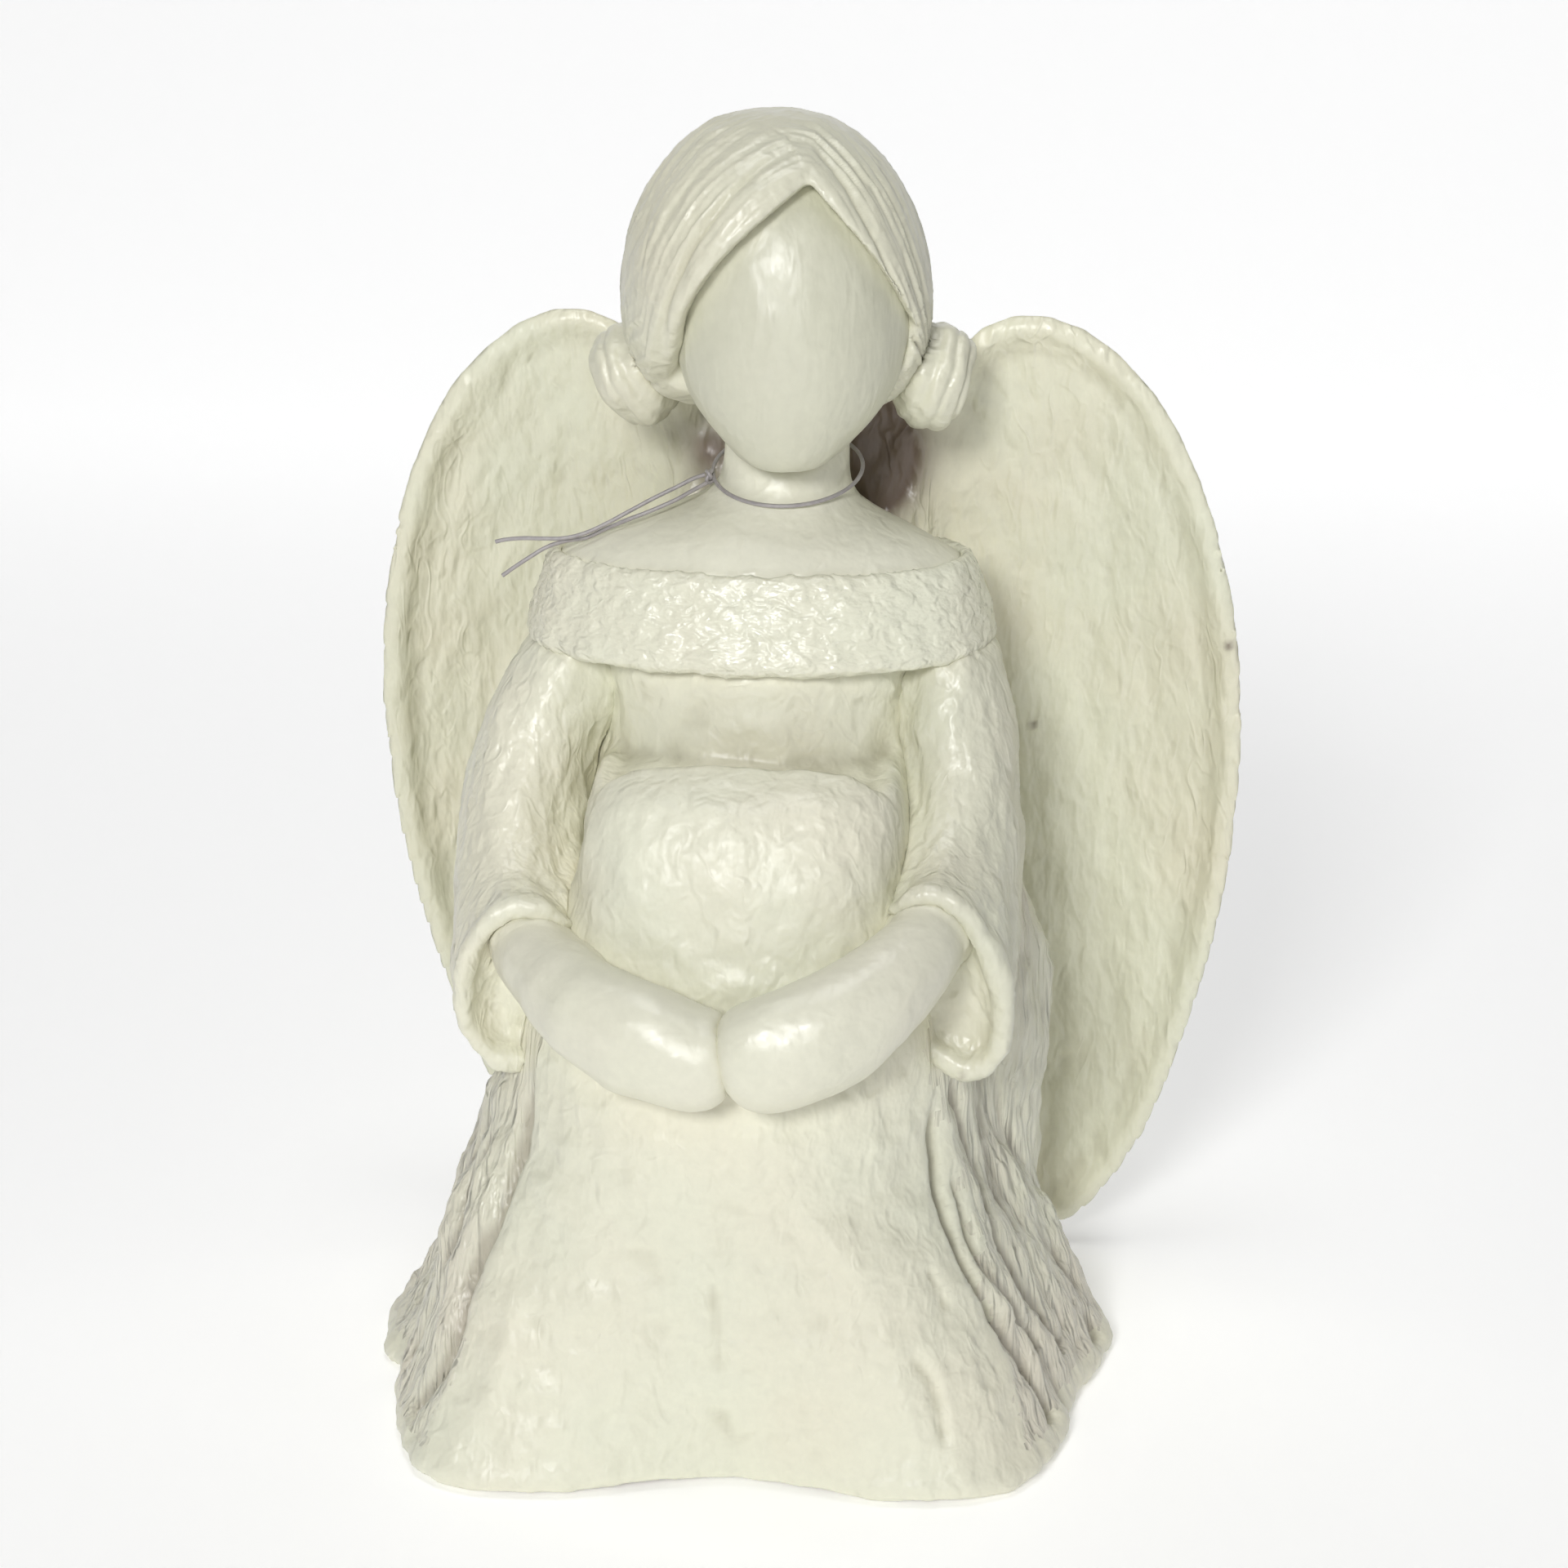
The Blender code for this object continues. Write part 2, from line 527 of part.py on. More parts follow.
def loop_point(angle):
    """A point on the loop of thread, whose plane tips down towards the chest."""
    s = math.sin(angle)
    return (LOOP_CENTRE[0] + LOOP_RX * math.cos(angle), LOOP_CENTRE[1] + LOOP_RY * s, LOOP_Z + LOOP_TILT * s)


def neck_thread():
    """The tied thread: a knot at the side of the neck, the loop that leaves and meets it, and two cut ends."""
    knot_at = Vector(loop_point(KNOT_ANGLE))
    bm = bmesh.new()
    bmesh.ops.create_uvsphere(bm, u_segments=10, v_segments=6, radius=KNOT_R)
    bmesh.ops.translate(bm, vec=knot_at, verts=bm.verts)
    finish_mesh("thread_knot", bm, NYLON)
    clear_of_knot = (KNOT_R + FIT + 0.1) / LOOP_RX
    turn = 2 * math.pi - 2 * clear_of_knot
    thread("thread_loop", [loop_point(KNOT_ANGLE + clear_of_knot + turn * i / 24) for i in range(25)], 37)
    thread("thread_tail_upper", TAIL_UPPER, 23)
    thread("thread_tail_lower", TAIL_LOWER, 23)


def centre_on_origin(cords):
    """Hangs every piece from one empty, moved to centre the figurine's box, without its thread, over the origin."""
    bpy.context.view_layer.update()
    graph = bpy.context.evaluated_depsgraph_get()
    pieces = [o for o in bpy.context.scene.objects if o.type in ("MESH", "CURVE")]
    corners = [
        o.evaluated_get(graph).matrix_world @ Vector(c)
        for o in pieces
        if not o.hide_render and o.name not in cords
        for c in o.evaluated_get(graph).bound_box
    ]
    middle_x = (min(c.x for c in corners) + max(c.x for c in corners)) / 2
    middle_y = (min(c.y for c in corners) + max(c.y for c in corners)) / 2
    figurine = bpy.data.objects.new("figurine", None)
    bpy.context.scene.collection.objects.link(figurine)
    for obj in pieces:
        obj.parent = figurine
    figurine.location = (-middle_x, -middle_y, 0)
    print(f"frame moved by {-middle_x / MM:.3f}, {-middle_y / MM:.3f} mm")


def main():
    clear_scene()
    body, body_clearance = gown()
    base_plate()
    felt_pads()
    band = collar()
    band_clearance = grown(band)
    cut(band, body_clearance)

    head = loft("head", [section(row, HEAD_RING) for row in stations(HEAD, 2)], PAINTED_RESIN)
    head_clearance = grown(head)
    bust = loft("bust", [section(row) for row in BUST], PAINTED_RESIN)
    cap, cap_clearance = hair_cap(head_clearance, grown(bust))
    cut(bust, head_clearance)

    arms = {"left": forearm("forearm_left", FOREARM_LEFT), "right": forearm("forearm_right", FOREARM_RIGHT)}
    arm_clearances = {side: grown(arm) for side, arm in arms.items()}
    cut(arms["left"], body_clearance)
    cut(arms["right"], body_clearance, arm_clearances["left"])

    sleeves = {"left": sleeve("sleeve_left", SLEEVE_LEFT), "right": sleeve("sleeve_right", SLEEVE_RIGHT)}
    sleeve_clearances = {side: grown(piece) for side, piece in sleeves.items()}
    for side, rows in (("left", SLEEVE_LEFT), ("right", SLEEVE_RIGHT)):
        hollow = cuff_hollow(f"cuff_hollow_{side}", rows[-1])
        cut(sleeves[side], body_clearance, band_clearance, hollow, arm_clearances[side])

    pinned("neck_pin", NECK_PIN_R, (NECK_X, 1, 142), (NECK_X, 1, 200), body, bust, head)
    for side, sign, place in (("left", 1, BUN_LEFT), ("right", -1, BUN_RIGHT)):
        coil = bun(f"bun_{side}", *place)
        cut(coil, cap_clearance, head_clearance)
        inwards = Vector((-sign, -0.25, 0.15)).normalized()
        outer = Vector(place[0]) - inwards * 2
        pinned(f"bun_pin_{side}", THIN_PIN_R, outer, outer + inwards * 11, coil, cap, head)

        blade = wing(f"wing_{side}", sign, WING_RIGHT_TURN if side == "right" else 0)
        cut(blade, body_clearance, band_clearance, sleeve_clearances[side])
        for label, ends in WING_PINS.items():
            start, end = (Vector((sign * x, y, z)) for x, y, z in ends)
            pinned(f"wing_pin_{side}_{label}", STEEL_PIN_R, start, end, body, blade)

        shoulder_x = SLEEVE_LEFT[1][0] if side == "left" else SLEEVE_RIGHT[1][0]
        start, end = (shoulder_x - sign * 16, 0, 145), (shoulder_x, -3, 141)
        pinned(f"sleeve_pin_{side}", STEEL_PIN_R, start, end, body, sleeves[side])
    neck_thread()
    centre_on_origin(("thread_loop", "thread_knot", "thread_tail_upper", "thread_tail_lower"))


main()
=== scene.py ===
# %% [markdown]
# # A seated angel in painted cast resin
# The figurine is a handful of resin castings, pinned and glued together and sprayed with one ivory paint.
# The sculptor pressed and stroked soft clay by hand, and the mould kept every stroke. So most of this
# script copies that work: it takes each casting, gives it a fine even skin, and then presses folds,
# strands and tool strokes into it. Lengths are millimetres wherever a name does not say otherwise.

# %% The frame
import math

import bmesh
import bpy
import numpy as np
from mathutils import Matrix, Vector
from mathutils.bvhtree import BVHTree
from mathutils.kdtree import KDTree


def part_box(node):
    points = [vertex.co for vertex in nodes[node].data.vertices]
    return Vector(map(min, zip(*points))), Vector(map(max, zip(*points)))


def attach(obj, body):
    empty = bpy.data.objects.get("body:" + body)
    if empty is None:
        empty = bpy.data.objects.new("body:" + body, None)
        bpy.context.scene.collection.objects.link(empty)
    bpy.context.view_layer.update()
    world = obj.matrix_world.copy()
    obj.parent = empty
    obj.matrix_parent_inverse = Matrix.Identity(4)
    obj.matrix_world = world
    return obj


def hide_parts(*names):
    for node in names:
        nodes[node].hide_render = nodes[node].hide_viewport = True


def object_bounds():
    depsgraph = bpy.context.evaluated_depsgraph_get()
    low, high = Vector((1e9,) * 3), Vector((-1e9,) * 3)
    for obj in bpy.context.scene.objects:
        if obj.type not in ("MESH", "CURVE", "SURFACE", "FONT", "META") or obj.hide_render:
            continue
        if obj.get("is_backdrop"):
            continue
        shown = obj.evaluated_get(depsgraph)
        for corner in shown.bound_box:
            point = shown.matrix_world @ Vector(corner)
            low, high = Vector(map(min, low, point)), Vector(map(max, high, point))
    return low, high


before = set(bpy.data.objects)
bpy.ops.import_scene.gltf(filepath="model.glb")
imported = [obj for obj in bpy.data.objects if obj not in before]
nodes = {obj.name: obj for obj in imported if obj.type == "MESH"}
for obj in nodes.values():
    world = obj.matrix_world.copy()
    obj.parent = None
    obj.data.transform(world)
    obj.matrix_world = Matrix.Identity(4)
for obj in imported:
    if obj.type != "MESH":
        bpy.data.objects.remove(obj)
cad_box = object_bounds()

MM = 0.001
scene = bpy.context.scene
scene.view_settings.view_transform = "Standard"     # the paint's hex colours show as they are written
print("pieces in the frame:", len(nodes))

# %% [markdown]
# ## Where things are
# The castings were drawn on a bench with its own zero point. The thread loop round the neck is a plain
# ellipse about a known point, so its box says how far the bench was moved, and every place below can be
# written in bench millimetres.

# %% Bench to frame
LOOP_CENTRE = (0.6, 1.2)
LOOP_RADII = (14.4, 15.4)
LOOP_Z = 182
LOOP_TILT = 4.4
loop_low, loop_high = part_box("thread_loop")
MOVED = (loop_low + loop_high) / 2 - Vector((*LOOP_CENTRE, LOOP_Z)) * MM


def place(point):
    """A bench point in millimetres as a frame point in metres."""
    return Vector(point) * MM + MOVED


print("bench moved by", [round(v / MM, 2) for v in MOVED], "mm")

# %% [markdown]
# ## Camera
# A product shot from a little above and a little to one side, with a long lens, so that the figurine
# keeps its own proportions.

# %% Camera
CAMERA_TURN = math.radians(7)
CAMERA_RISE = math.radians(17)
CAMERA_DISTANCE = 0.6
CAMERA_TARGET = Vector((-0.001263, 0.014031, 0.11864))
LENS = 69.54

camera_data = bpy.data.cameras.new("camera")
camera_data.lens = LENS
camera_data.sensor_width = 36
camera = bpy.data.objects.new("camera", camera_data)
scene.collection.objects.link(camera)
level = math.cos(CAMERA_RISE)
outward = Vector((math.sin(CAMERA_TURN) * level, -math.cos(CAMERA_TURN) * level, math.sin(CAMERA_RISE)))
camera.location = CAMERA_TARGET + CAMERA_DISTANCE * outward
camera.rotation_euler = (-outward).to_track_quat("-Z", "Y").to_euler()
scene.camera = camera
print("camera at", [round(v, 3) for v in camera.location])

# %% [markdown]
# ## Colours and nodes
# Colours are written as the hex values a paint chart would give, and turned to the linear values that the
# renderer works in. One small function adds a node with its settings and its links, so a material reads
# from top to bottom.

# %% Colour and node helpers
NOISE, COORDS, MIX = "ShaderNodeTexNoise", "ShaderNodeTexCoord", "ShaderNodeMix"
MATHS, VECTOR, RANGE = "ShaderNodeMath", "ShaderNodeVectorMath", "ShaderNodeMapRange"
SOFT = {"interpolation_type": "SMOOTHSTEP"}
COLOUR = {"data_type": "RGBA"}


def linear(hex_code):
    """An sRGB hex colour as linear RGBA."""
    parts = [int(hex_code[i:i + 2], 16) / 255 for i in (1, 3, 5)]
    return (*[c / 12.92 if c <= 0.04045 else ((c + 0.055) / 1.055) ** 2.4 for c in parts], 1)


def add(tree, kind, settings=None, **inputs):
    """Adds a node. Inputs go by socket name, or by place as i0, i1, and are values or other outputs."""
    node = tree.nodes.new(kind)
    for key, value in (settings or {}).items():
        setattr(node, key, value)
    for key, value in inputs.items():
        by_place = key[0] == "i" and key[1:].isdigit()
        socket = node.inputs[int(key[1:])] if by_place else node.inputs[key.replace("_", " ")]
        if isinstance(value, bpy.types.NodeSocket):
            tree.links.new(value, socket)
        else:
            socket.default_value = value
    return node


def new_material(name):
    """An empty material with its shader and its output joined."""
    made = bpy.data.materials.new(name)
    made.use_nodes = True
    tree = made.node_tree
    return made, tree, tree.nodes["Principled BSDF"]


def per(mm):
    """The texture scale that repeats once in so many millimetres."""
    return 1 / (mm * MM)


print("ivory in linear light:", [round(c, 3) for c in linear("#e4e3cf")])

# %% [markdown]
# ## Painted resin
# Polyester resin casts to a dull brown, so the whole figure is sprayed with a satin ivory lacquer. The
# paint is thinner and yellower over the high rims, a little greyer where it pools, and it keeps a soft
# sheen that breaks up over the tool strokes. The grey in the hollows and fold valleys is also painted
# shade. IOR 1.5 is that of a clear lacquer.

# %% Satin ivory lacquer over cast resin
DAUB_MM = 4.6              # the dabs of a fingertip in soft clay
WRINKLE_MM = 6.0           # spacing of the crisp wrinkles between them
SCRAPE_MM = 1.6            # scrapes of the tool's edge, too small to be worth a mesh point
RELIEF_MM = 1.1            # how high all of that stands
PEEL_MM = 0.35             # orange peel left by the spray
PEEL_HIGH_MM = 0.05
TONE_MM = 38               # how far apart the warmer and the cooler places lie
MOTTLE_MM = 2.2            # the fine unevenness of the paint
SCRAPE_SHARE = 0.22        # height of the scrapes against the dabs
BARE_RESIN_AND_SHADE = "#75665a"     # the brown of the casting where little spray reached, and painted shade behind the neck
CLEAR_IOR = 1.5
CLAY_PLAIN = (1.0, 1.0, 1.0)
CLAY_UPRIGHT = (1.2, 1.2, 0.55)     # strokes drawn down the figure
CLAY_LEVEL = (1.2, 1.6, 1.9)        # dabs set side by side across it
CLAY_GOWN = (1.0, 1.0, 0.8)
CLAY_SLEEVE = (1.2, 1.2, 0.8)
CLAY_BARK = (1.7, 1.7, 0.17)        # long scrapes down the skirt's sides
# The third and fourth colours grey the hollows, the fourth on the skirt's sides: paint gathered there and
# painted shade.
IVORY, WARM, POOLED_AND_SHADE, BARK_POOLED_AND_SHADE = "#e4e4d0", "#e4e1cd", "#b3af97", "#a49c8b"


def satin_lacquer(name, paint=IVORY, warm=WARM, pooled_and_shade=POOLED_AND_SHADE, relief=1.0, gloss=0.34, strokes=CLAY_PLAIN,
                  wrinkled=0.06):
    """One paint, in the tone a piece shows: its ivory, the warmer places where the coat is thinner, and the
    darker colour of the hollows, which is paint gathered there and painted shade. A piece in shade gets a
    darker copy of the paint and a piece in light a lighter one: painted shade and painted light. Relief
    is how strongly the clay below was worked, wrinkled is how much of that is crisp wrinkles, strokes is
    the way the marks run, and gloss is the mean roughness."""
    made, tree, shader = new_material("satin_ivory_lacquer" + name)
    spot = add(tree, COORDS).outputs["Object"]
    broad = add(tree, NOISE, Vector=spot, Scale=per(TONE_MM), Detail=3.0, Roughness=0.5)
    drift = add(tree, RANGE, Value=broad.outputs["Fac"], From_Min=0.38, From_Max=0.66)
    tone = add(tree, MIX, COLOUR, i0=drift.outputs[0], i6=linear(paint), i7=linear(warm))
    # Painted shade and gathered paint: the hollow attribute mixes the darker colour into hollows and fold
    # valleys.
    hollow = add(tree, "ShaderNodeAttribute", {"attribute_name": "hollow"})
    deep = add(tree, RANGE, Value=hollow.outputs["Fac"], From_Min=0.15, From_Max=0.9, To_Max=0.6)
    pool_and_shade = add(tree, MIX, COLOUR, i0=deep.outputs[0], i6=tone.outputs[2], i7=linear(pooled_and_shade))
    fine = add(tree, NOISE, Vector=spot, Scale=per(MOTTLE_MM), Detail=4.0, Roughness=0.6)
    mottle = add(tree, RANGE, Value=fine.outputs["Fac"], From_Min=0.25, From_Max=0.75,
                 To_Min=0.965, To_Max=1.03)
    # Brown resin where little spray reached, and painted shade behind the neck and on the wing rims.
    bare_and_shade = add(tree, "ShaderNodeAttribute", {"attribute_name": "bare_and_shade"})
    thin_and_shaded = add(tree, MIX, COLOUR, i0=bare_and_shade.outputs["Fac"], i6=pool_and_shade.outputs[2], i7=linear(BARE_RESIN_AND_SHADE))
    colour = add(tree, MIX, {"data_type": "RGBA", "blend_type": "MULTIPLY"}, i0=1.0,
                 i6=thin_and_shaded.outputs[2], i7=mottle.outputs[0])
    tree.links.new(colour.outputs[2], shader.inputs["Base Color"])

    rough = add(tree, RANGE, Value=fine.outputs["Fac"], From_Min=0.3, From_Max=0.7,
                To_Min=gloss - 0.05, To_Max=gloss + 0.09)
    tree.links.new(rough.outputs[0], shader.inputs["Roughness"])

    drawn = add(tree, "ShaderNodeMapping", Vector=spot, Scale=strokes)
    daubs = add(tree, NOISE, Vector=drawn.outputs[0], Scale=per(DAUB_MM), Detail=1.0, Distortion=0.7)
    winding = add(tree, NOISE, Vector=drawn.outputs[0], Scale=per(WRINKLE_MM), Detail=1.0, Distortion=0.9)
    off_line = add(tree, MATHS, {"operation": "SUBTRACT"}, i0=winding.outputs["Fac"], i1=0.5)
    gap = add(tree, MATHS, {"operation": "ABSOLUTE"}, i0=off_line.outputs[0])
    wrinkle = add(tree, RANGE, SOFT, Value=gap.outputs[0], From_Max=0.13, To_Min=wrinkled, To_Max=0.0)
    scrape = add(tree, NOISE, Vector=drawn.outputs[0], Scale=per(SCRAPE_MM), Detail=1.0)
    patch = add(tree, RANGE, Value=broad.outputs["Fac"], From_Min=0.4, From_Max=0.58, To_Min=0.25)
    ridged = add(tree, MATHS, {"operation": "MULTIPLY"}, i0=wrinkle.outputs[0], i1=patch.outputs[0])
    clay = add(tree, MATHS, i0=daubs.outputs["Fac"], i1=ridged.outputs[0])
    scraped = add(tree, MATHS, {"operation": "MULTIPLY_ADD"}, i0=scrape.outputs["Fac"], i1=SCRAPE_SHARE,
                  i2=clay.outputs[0])
    peel = add(tree, NOISE, Vector=spot, Scale=per(PEEL_MM), Detail=1.0)
    low = add(tree, "ShaderNodeBump", Strength=min(relief, 1.0), Distance=RELIEF_MM * max(relief, 1.0) * MM,
              Height=scraped.outputs[0])
    high = add(tree, "ShaderNodeBump", Strength=0.1, Distance=PEEL_HIGH_MM * MM, Height=peel.outputs["Fac"],
               Normal=low.outputs[0])
    tree.links.new(high.outputs[0], shader.inputs["Normal"])
    shader.inputs["IOR"].default_value = CLEAR_IOR
    shader.inputs["Coat Weight"].default_value = 0.12
    shader.inputs["Coat Roughness"].default_value = 0.22
    return made


# The figure has one ivory paint. The darker face, hair and left sleeve and the lighter bust are painted
# shade and painted light, for how the lamps fall on those pieces.
LACQUER = satin_lacquer("", relief=0.75, gloss=0.4, strokes=CLAY_GOWN, wrinkled=0.08)
DABBED_LACQUER = satin_lacquer("_dabbed", relief=0.8, gloss=0.29, strokes=CLAY_LEVEL, wrinkled=0.09)
SLEEVE_LACQUER = satin_lacquer("_sleeve", relief=0.75, strokes=CLAY_SLEEVE, wrinkled=0.1)
SHADED_SLEEVE_LACQUER = satin_lacquer("_sleeve_left", "#d9d9c5", "#dad7c4", relief=0.75,
                                      strokes=CLAY_SLEEVE, wrinkled=0.1)
HAIR_LACQUER = satin_lacquer("_hair", "#d8d7c3", "#d9d6c2", relief=0.5, wrinkled=0.04)
FACE_LACQUER = satin_lacquer("_face", "#cfcfbb", "#cfcebb", relief=0.3, gloss=0.36, strokes=CLAY_UPRIGHT,
                             wrinkled=0.05)
SKIN_LACQUER = satin_lacquer("_skin", "#dfdecb", "#dfdccb", relief=0.25, wrinkled=0.02)
BUST_LACQUER = satin_lacquer("_bust", "#e8e7d5", "#e8e6d3", relief=0.4, wrinkled=0.04)
WING_LACQUER = satin_lacquer("_wing", "#e2e2cc", "#e3dfc8", relief=0.8, strokes=CLAY_UPRIGHT, wrinkled=0.16)
BARK_LACQUER = satin_lacquer("_bark", "#e0dfcb", "#dbd6c5", BARK_POOLED_AND_SHADE, relief=1.6, strokes=CLAY_BARK,
                             wrinkled=0.1)
print("lacquers:", [m.name for m in bpy.data.materials if m.name.startswith("satin")])

# %% [markdown]
# ## A fine skin for a casting
# The frame's castings have broad flat facets. A copy is merged, remeshed into even little squares by
# voxels, and relaxed: each point moves towards the middle of its neighbours, which melts the facets away
# and leaves the form. From then on a piece is an array of points, so that one line can press a tool into
# all of them.

# %% Skin, relax and push
def points_of(obj):
    """The mesh points in bench millimetres, one row each."""
    flat = np.empty(len(obj.data.vertices) * 3)
    obj.data.vertices.foreach_get("co", flat)
    return (flat.reshape(-1, 3) - np.array(MOVED)) / MM


def set_points(obj, spots):
    obj.data.vertices.foreach_set("co", (spots * MM + np.array(MOVED)).ravel())
    obj.data.update()


def normals_of(obj):
    flat = np.empty(len(obj.data.vertices) * 3)
    obj.data.vertex_normals.foreach_get("vector", flat)
    return flat.reshape(-1, 3)


def neighbour_mean(obj):
    """A function that gives, for any array of point values, the mean of each point's neighbours."""
    ends = np.empty(len(obj.data.edges) * 2, dtype=np.int64)
    obj.data.edges.foreach_get("vertices", ends)
    a, b = ends.reshape(-1, 2).T
    here, there = np.concatenate([a, b]), np.concatenate([b, a])
    count = len(obj.data.vertices)
    share = np.maximum(np.bincount(here, minlength=count), 1)

    def mean(values):
        sums = [np.bincount(here, weights=column[there], minlength=count) for column in values.T]
        return np.stack(sums, axis=1) / share[:, None]

    return mean


def relax(obj, rounds, hold=0.0):
    """Melts facets away. Hold is 0 to 1 for each point, and a held point stays where it is."""
    mean = neighbour_mean(obj)
    spots = points_of(obj)
    give = 0.5 * (1 - np.broadcast_to(hold, len(spots)))[:, None]
    for _ in range(rounds):
        spots = spots + give * (mean(spots) - spots)
    set_points(obj, spots)


def push(obj, amount):
    """Moves each point out along its normal, in millimetres."""
    set_points(obj, points_of(obj) + normals_of(obj) * np.asarray(amount)[:, None])


def weld(obj, other, reach=2.6, overlap=0.2, strength=1.0):
    """Smears the clay of one casting onto its neighbour: points nearer than reach millimetres are drawn to
    the neighbour's surface, and the nearest ones a little into it, so that no slit is left. Strength is
    0 to 1 for each point."""
    tree = BVHTree.FromObject(other, bpy.context.evaluated_depsgraph_get())
    spots = points_of(obj) * MM + np.array(MOVED)
    low, high = (np.array([f(v.co[k] for v in other.data.vertices) for k in range(3)]) for f in (min, max))
    close = np.all((spots > low - reach * MM) & (spots < high + reach * MM), axis=1)
    strength = np.broadcast_to(strength, len(spots))
    for i in np.flatnonzero(close & (strength > 0.01)):
        found, way, _, far = tree.find_nearest(Vector(spots[i]), reach * MM)
        if found is None or (Vector(spots[i]) - found).dot(way) < 0:
            continue
        pull = strength[i] * min(1.0, 1.7 * (1 - far / (reach * MM)))
        spots[i] += pull * (np.array(found) - spots[i] - overlap * MM * np.array(way))
    set_points(obj, (spots - np.array(MOVED)) / MM)


def skin(name, node, voxel, rounds):
    """A fine copy of a casting, as a new object at the origin."""
    bm = bmesh.new()
    bm.from_mesh(nodes[node].data)
    bmesh.ops.remove_doubles(bm, verts=bm.verts, dist=0.001 * MM)
    mesh = bpy.data.meshes.new(name)
    bm.to_mesh(mesh)
    bm.free()
    obj = bpy.data.objects.new(name, mesh)
    scene.collection.objects.link(obj)
    even = obj.modifiers.new("even skin", "REMESH")
    even.mode = "VOXEL"
    even.voxel_size = voxel * MM
    obj.data = bpy.data.meshes.new_from_object(obj.evaluated_get(bpy.context.evaluated_depsgraph_get()))
    obj.data.name = name
    obj.modifiers.clear()
    bpy.data.meshes.remove(mesh)
    relax(obj, rounds)
    return obj


# %% [markdown]
# ## Tools for pressing clay
# A fold, a crease or a strand is a tool drawn along a line. The distance of every point from the line,
# and how far along it the point lies, are all that a tool needs to know.

# %% Lines, grooves and soft steps
CURVE_STEPS = 6


def smooth_line(points):
    """A Catmull-Rom curve through a few points, as rows."""
    knots = np.array([points[0], *points, points[-1]], float)
    rows = []
    for p, q, r, s in zip(knots, knots[1:], knots[2:], knots[3:]):
        for t in np.arange(CURVE_STEPS) / CURVE_STEPS:
            bend = (2 * p - 5 * q + 4 * r - s) * t ** 2 + (3 * q - p - 3 * r + s) * t ** 3
            rows.append(0.5 * (2 * q + (r - p) * t + bend))
    return np.array([*rows, knots[-1]])


def near_line(spots, points):
    """Distance of each spot from the curve, and how far along the curve it lies, from 0 to 1."""
    line = smooth_line(points)
    best = np.full(len(spots), 1e9)
    along = np.zeros(len(spots))
    for i, (a, b) in enumerate(zip(line, line[1:])):
        run = b - a
        t = np.clip((spots - a) @ run / max(run @ run, 1e-9), 0, 1)
        gap = np.linalg.norm(spots - (a + t[:, None] * run), axis=1)
        closer = gap < best
        best = np.where(closer, gap, best)
        along = np.where(closer, (i + t) / (len(line) - 1), along)
    return best, along


def step(values, low, high):
    """A soft step from 0 at low to 1 at high."""
    t = np.clip((values - low) / (high - low), 0, 1)
    return t * t * (3 - 2 * t)


def pressed(spots, points, width, depth, fade_in=0.15, fade_out=0.15, crisp=2.0):
    """How far a tool drawn along the curve pushes each spot: negative is into the clay. Crisp 2 is a round
    groove, and nearer 1 it is a sharp valley."""
    gap, along = near_line(spots, points)
    ends = step(along, 0, fade_in) * step(1 - along, 0, fade_out)
    return -depth * ends * np.exp(-(gap / width) ** crisp)


def ripple(spots, size, seed):
    """Smooth noise of about the given size in millimetres, from -1 to 1, from a few crossed waves."""
    draw = np.random.default_rng(seed)
    total = np.zeros(len(spots))
    for _ in range(10):
        way = draw.normal(size=3)
        way *= draw.uniform(0.6, 1.5) / np.linalg.norm(way)
        total += np.sin(spots @ way * (2 * math.pi / size) + draw.uniform(0, 2 * math.pi))
    return total / 4


print("a curve through 3 points has", len(smooth_line([(0, 0, 0), (1, 0, 0), (2, 1, 0)])), "rows")

# %% [markdown]
# ## The hand-modelled surface
# The stroke marks follow one rule all over the figure: short daubs, longer than they are wide, that lie
# in the direction the hand moved, each with a small step where it overlaps the last and a thin crisp lip
# where the tool left the clay. That is a job for Geometry Nodes: one tree with named inputs, used on
# every casting with its own sizes. A point attribute says how strongly the clay was worked there, so the
# face and hands stay smooth.

# %% The stroke tree
STEPS_PER_SWELL = 11       # how many overlaps a daub's height is cut into


